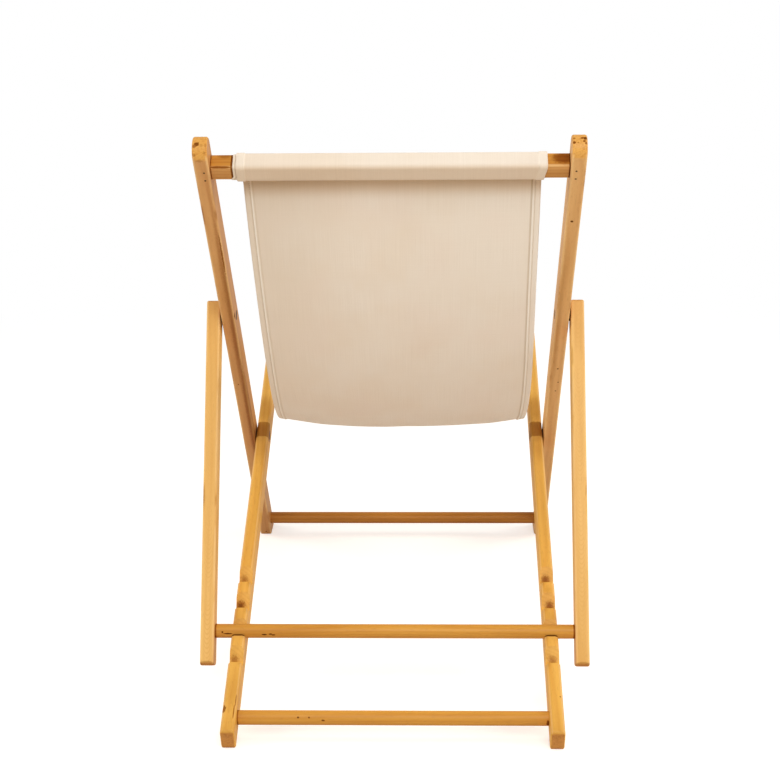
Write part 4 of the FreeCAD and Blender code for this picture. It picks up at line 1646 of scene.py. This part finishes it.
    def _surfaces(self, columns: list[Column], grid: list[list[Row]]) -> tuple[np.ndarray, ...]:
        """Points of both sides of the cloth.

        Args:
            columns: the lines down the cloth.
            grid: their rows.

        Returns:
            The sitter's side, the back, and the flat place and the zone of each point, by column
            and row.
        """
        shape = (len(columns), len(grid[0]), 3)
        face, back, flat, zone = (np.zeros(shape) for _ in range(4))
        for i, (column, rows) in enumerate(zip(columns, grid)):
            total = rows[-1].travel
            for j, row in enumerate(rows):
                x = self._column_x(column, row)
                inset = row.right - x if x > 0.0 else row.left + x
                hem = self._hem(inset, row.sewn) * self.hem_height
                off = self._ripple(x, row, row.travel / total)
                layer = self._edge(inset)
                up = off + layer + hem * row.hem_face
                down = off - layer - hem * row.hem_back
                y, z = row.place
                ny, nz = row.normal
                face[i, j] = (x, y + up * ny, z + up * nz)
                back[i, j] = (x, y + down * ny, z + down * nz)
                flat[i, j] = (x, row.travel, inset)
                zone[i, j] = (row.painted_shade, row.sewn, row.sewn)
        return face, back, flat, zone

    def _cloth(self, face: np.ndarray, back: np.ndarray, flat: np.ndarray,
               zone: np.ndarray) -> bpy.types.Object:
        """Mesh of the cloth, closed round its edges.

        Args:
            face: points of the sitter's side.
            back: points of the back.
            flat: flat place of each point.
            zone: how much painted shade the back has at each point, and whether its hem is sewn and ridged.

        Returns:
            The object.
        """
        wide, long = face.shape[:2]
        count = wide * long
        points = np.concatenate([face.reshape(-1, 3), back.reshape(-1, 3)])
        polygons = []
        for i in range(wide - 1):
            for j in range(long - 1):
                a, b, c, d = i * long + j, (i + 1) * long + j, (i + 1) * long + j + 1, i * long + j + 1
                polygons.append((a, d, c, b))
                polygons.append((count + a, count + b, count + c, count + d))
        for j in range(long - 1):
            for i, flip in ((0, False), (wide - 1, True)):
                quad = (i * long + j, count + i * long + j, count + i * long + j + 1, i * long + j + 1)
                polygons.append(tuple(reversed(quad)) if flip else quad)
        for i in range(wide - 1):
            for j, flip in ((0, True), (long - 1, False)):
                a, b = i * long + j, (i + 1) * long + j
                quad = (a, count + a, count + b, b)
                polygons.append(tuple(reversed(quad)) if flip else quad)
        # The sitter's side of the sheet gets no painted shade.
        face_zone = zone.copy()
        face_zone[:, :, 0] *= 1.0 - zone[:, :, 1]
        face_zone[:, :, 2] = 0.0
        both = {"flat_place": np.concatenate([flat, flat]), "zone": np.concatenate([face_zone, zone])}
        return self._object("sling", points.tolist(), polygons, both)

    def _lining(self) -> bpy.types.Object:
        """Turned-in layer of the top sleeve, a closed band that shows beyond the sleeve's left end.

        Returns:
            The object.
        """
        rail = replace(self.top, clearance=self.lining_clearance)
        side = rail.sheet_side
        upper = (*self.lining_rim, (self.lining_width, 1.0))
        outline = ((0.0, 0.0), *upper, *((inset, -off) for inset, off in reversed(upper)))
        turns = []
        for along_sign, across_sign, first in ((-1.0, side, 2.0), (1.0, side, 1.0), (1.0, -side, 0.0),
                                               (-1.0, -side, -1.0)):
            along, across = rail.corner(along_sign, across_sign)
            lowest = first < 0.0
            if lowest:
                turns.append((along + self.lining_flare_at, across, first, 0.0))
            for i in range(self.corner_rows + 1):
                turns.append((along, across, first - i / self.corner_rows, 1.0 if lowest else 0.0))
        points: list[Point] = []
        flat: list[Point] = []
        zone: list[Point] = []
        for ring, (along, across, quarters, flare) in enumerate(turns):
            turn = quarters * QUARTER_TURN
            for inset, off in outline:
                reach = rail.radius + off * self.lining_half_thickness
                spot = (along + reach * math.cos(turn), across + side * reach * math.sin(turn))
                x = self.lining_end + inset - flare * self.lining_flare * (1.0 - inset / self.lining_width)
                points.append((x, *rail.place(*spot)))
                flat.append((x, ring * self.lining_step, inset))
                # Painted shade on the lining's lower faces.
                zone.append((self.lining_painted_shade * self._ease(-quarters), 1.0, 0.0))
        sides = len(outline)
        polygons = []
        for ring in range(len(turns)):
            here, there = ring * sides, (ring + 1) % len(turns) * sides
            for s in range(sides):
                t = (s + 1) % sides
                polygons.append((here + s, here + t, there + t, there + s))
        return self._object("sling_lining", points, polygons, {"flat_place": flat, "zone": zone})

    @staticmethod
    def _object(name: str, points: list[Point], polygons: list[tuple[int, ...]],
                facts: dict[str, Any] | None = None) -> bpy.types.Object:
        """Smooth-shaded mesh object.

        Args:
            name: the object's name.
            points: its points.
            polygons: its faces.
            facts: vectors of each point by attribute name, for the canvas.

        Returns:
            The object, in the scene.
        """
        mesh = bpy.data.meshes.new(name)
        mesh.from_pydata(points, [], polygons)
        mesh.update()
        for attribute_name, vectors in (facts or {}).items():
            attribute = mesh.attributes.new(attribute_name, "FLOAT_VECTOR", "POINT")
            attribute.data.foreach_set("vector", np.asarray(vectors, dtype=np.float32).reshape(-1))
        mesh.shade_smooth()
        made = bpy.data.objects.new(name, mesh)
        bpy.context.scene.collection.objects.link(made)
        return made

    def _stitches(self, columns: list[Column], face: np.ndarray, back: np.ndarray) -> bpy.types.Object:
        """Sewing along both hems and across both sleeve seams, on both sides of the cloth.

        Args:
            columns: the lines down the cloth.
            face: points of the sitter's side.
            back: points of the back.

        Returns:
            The object.
        """
        body = slice(len(self.hem_steps) - 1, 1 - len(self.hem_steps))
        long = face.shape[1]
        sleeve = 4 * (self.corner_rows + 1) + 3 * (self.flat_rows - 1) + 2 * self.strip_rows - 1
        first_hung = sleeve + self.strip_rows + 1
        hung = slice(first_hung, long - first_hung)
        lines = []
        for i, column in enumerate(columns):
            if column.inset == self.hem_stitch:
                lines.append((face[i, hung], (face - back)[i, hung]))
                lines.append((back[i, hung], (back - face)[i, hung]))
        for at in (*self.strip_seams, *(first_hung + rows_in for rows_in in self.sheet_seams)):
            for j in (at, long - 1 - at):
                lines.append((face[body, j], (face - back)[body, j]))
        points: list[list[float]] = []
        polygons: list[tuple[int, ...]] = []
        for line, normals in lines:
            self._sew(line, normals, points, polygons)
        return self._object("sling_stitches", points, polygons)

    def _sew(self, line: np.ndarray, normals: np.ndarray, points: list[list[float]],
             polygons: list[tuple[int, ...]]) -> None:
        """Add a row of stitches along a line on the cloth.

        Args:
            line: points of the line.
            normals: directions away from the cloth at those points.
            points: mesh points to add to.
            polygons: mesh faces to add to.
        """
        runs = np.linalg.norm(np.diff(line, axis=0), axis=1)
        travel = np.concatenate([[0.0], np.cumsum(runs)])
        count = int(travel[-1] / self.stitch_pitch)
        sides = self.stitch_sides
        profile = self.stitch_profile
        for k in range(count):
            middle = (k + 0.5) * self.stitch_pitch
            ends = []
            for at in (middle - 0.5 * self.stitch_length, middle, middle + 0.5 * self.stitch_length):
                ends.append(np.array([np.interp(at, travel, line[:, c]) for c in range(3)]))
            up = np.array([np.interp(middle, travel, normals[:, c]) for c in range(3)])
            up /= np.linalg.norm(up)
            run = (ends[2] - ends[0]) / np.linalg.norm(ends[2] - ends[0])
            side = np.cross(run, up)
            base = len(points)
            for share, girth, lift in profile:
                centre = ends[1] + run * share * self.stitch_length + up * lift * self.stitch_radius
                for s in range(sides):
                    turn = FULL_TURN * s / sides
                    spoke = math.cos(turn) * side + math.sin(turn) * up
                    points.append((centre + spoke * self.stitch_radius * girth).tolist())
            for ring in range(len(profile) - 1):
                for s in range(sides):
                    a = base + ring * sides + s
                    b = base + ring * sides + (s + 1) % sides
                    polygons.append((a, a + sides, b + sides, b))
            polygons.append(tuple(base + s for s in range(sides)))
            last = base + (len(profile) - 1) * sides
            polygons.append(tuple(last + s for s in reversed(range(sides))))


@dataclass(frozen=True)
class Lamp:
    """A square soft lamp: its place, the point that it faces, its side in metres, its watts and colour."""

    name: str
    place: Point
    aim: Point
    size: float
    power: float
    colour: Colour

    def build(self) -> None:
        """Hang the lamp."""
        data = bpy.data.lights.new(self.name, "AREA")
        data.size = self.size
        data.energy = self.power
        data.color = self.colour
        made = bpy.data.objects.new(self.name, data)
        made.location = self.place
        made.rotation_euler = (Vector(self.aim) - Vector(self.place)).to_track_quat("-Z", "Y").to_euler()
        bpy.context.scene.collection.objects.link(made)
        log.info("studio: %s lamp", self.name)


@dataclass
class Studio:
    """The pale floor, the soft lights and the camera at the photograph's place."""

    camera_place: Point = (0.0643, -2.6802, 1.2838)
    yaw: float = -1.611
    pitch: float = 17.735
    roll: float = 0.583
    focal_pixels: float = 1651.9
    frame_width: float = 780.0
    sensor: float = 36.0
    floor_half: float = 40.0
    floor_colour: Colour = (0.78, 0.745, 0.700)
    floor_glow: float = 0.48
    near_floor: float = 1.0
    far_floor: float = 2.4
    sky: float = 0.48
    sky_colour: Colour = (1.0, 0.995, 0.985)
    lamps: tuple[Lamp, ...] = (
        Lamp("key", (0.35, -2.6, 2.6), (0.0, 0.0, 0.45), 2.0, 60.0, (1.0, 0.985, 0.955)),
        Lamp("right", (2.6, 0.15, 1.7), (0.0, 0.1, 0.45), 1.4, 31.0, (1.0, 0.985, 0.955)),
        Lamp("left", (-2.6, 0.15, 1.7), (0.0, 0.1, 0.45), 1.4, 29.0, (1.0, 0.97, 0.93)),
    )

    def build(self) -> None:
        """Make the floor, the lights and the camera."""
        self._floor()
        self._world()
        for lamp in self.lamps:
            lamp.build()
        self._camera()

    def _floor(self) -> None:
        """A pale floor that keeps the chair's shadow and goes white away from it."""
        half = self.floor_half
        mesh = bpy.data.meshes.new("floor")
        corners = [(-half, -half, 0), (half, -half, 0), (half, half, 0), (-half, half, 0)]
        mesh.from_pydata(corners, [], [(0, 1, 2, 3)])
        floor = bpy.data.objects.new("floor", mesh)
        bpy.context.scene.collection.objects.link(floor)
        g = Graph.of_material("floor_paint")
        matt = g.node("ShaderNodeBsdfDiffuse", None, {"Color": (*self.floor_colour, 1.0)})
        glow = g.node("ShaderNodeEmission", None, {"Color": WHITE, "Strength": self.floor_glow})
        near = g.node("ShaderNodeAddShader", None, {0: matt, 1: glow})
        white = g.node("ShaderNodeEmission", None, {"Color": WHITE, "Strength": 1.0})
        place = g.node("ShaderNodeTexCoord", None, None, "Object")
        off = g.node("ShaderNodeVectorMath", {"operation": "LENGTH"}, {0: place}, "Value")
        far = off.rise(self.near_floor, self.far_floor)
        shown = g.node("ShaderNodeMixShader", None, {0: far, 1: near, 2: white})
        g.close(g.node("ShaderNodeMixShader", None, {0: self._seen(g), 1: matt, 2: shown}))
        dress(floor, g.holder)
        log.info("studio: floor")

    @staticmethod
    def _seen(g: Graph) -> Signal:
        """1 for rays from the camera, a mirror or glass, else 0.

        Args:
            g: the nodes under construction.

        Returns:
            The mask.
        """
        camera = g.node("ShaderNodeLightPath", None, None, "Is Camera Ray")
        path = camera.socket.node
        glossy = Signal(g, path.outputs["Is Glossy Ray"])
        through = Signal(g, path.outputs["Is Transmission Ray"])
        return camera.larger(glossy).larger(through)

    def _world(self) -> None:
        """An even sky that looks white to the camera."""
        g = Graph(bpy.data.worlds.new("sky"))
        light = g.node("ShaderNodeBackground", None,
                       {"Color": (*self.sky_colour, 1.0), "Strength": self.sky})
        white = g.node("ShaderNodeBackground", None, {"Color": WHITE, "Strength": 1.0})
        g.close(g.node("ShaderNodeMixShader", None, {0: self._seen(g), 1: light, 2: white}))
        bpy.context.scene.world = g.holder
        log.info("studio: sky")

    def _camera(self) -> None:
        """The camera, from its yaw, pitch and roll."""
        yaw, pitch, roll = (math.radians(a) for a in (self.yaw, self.pitch, self.roll))
        ahead = Vector((math.sin(yaw) * math.cos(pitch), math.cos(yaw) * math.cos(pitch), -math.sin(pitch)))
        level = Vector((math.cos(yaw), -math.sin(yaw), 0.0))
        down = ahead.cross(level)
        right = math.cos(roll) * level + math.sin(roll) * down
        up = math.sin(roll) * level - math.cos(roll) * down
        data = bpy.data.cameras.new("camera")
        data.sensor_fit = "HORIZONTAL"
        data.sensor_width = self.sensor
        data.lens = self.focal_pixels / self.frame_width * self.sensor
        camera = bpy.data.objects.new("camera", data)
        turn = Matrix((right, up, -ahead)).transposed().to_4x4()
        camera.matrix_world = Matrix.Translation(self.camera_place) @ turn
        bpy.context.scene.collection.objects.link(camera)
        bpy.context.scene.camera = camera
        log.info("studio: camera, lens %.1f mm", data.lens)


def main() -> None:
    """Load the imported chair, dress it and set it in the studio."""
    logging.basicConfig(level=logging.INFO, format="%(message)s")
    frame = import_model()
    bpy.context.scene.view_settings.view_transform = "Standard"
    nodes = frame["nodes"]
    for wood in (BackFrame().frame(), SeatFrame().frame(), StrutFrame().frame()):
        wood.dress(nodes)
    Fasteners().dress(nodes)
    Sling().build()
    Studio().build()


if __name__ == "__main__":
    main()
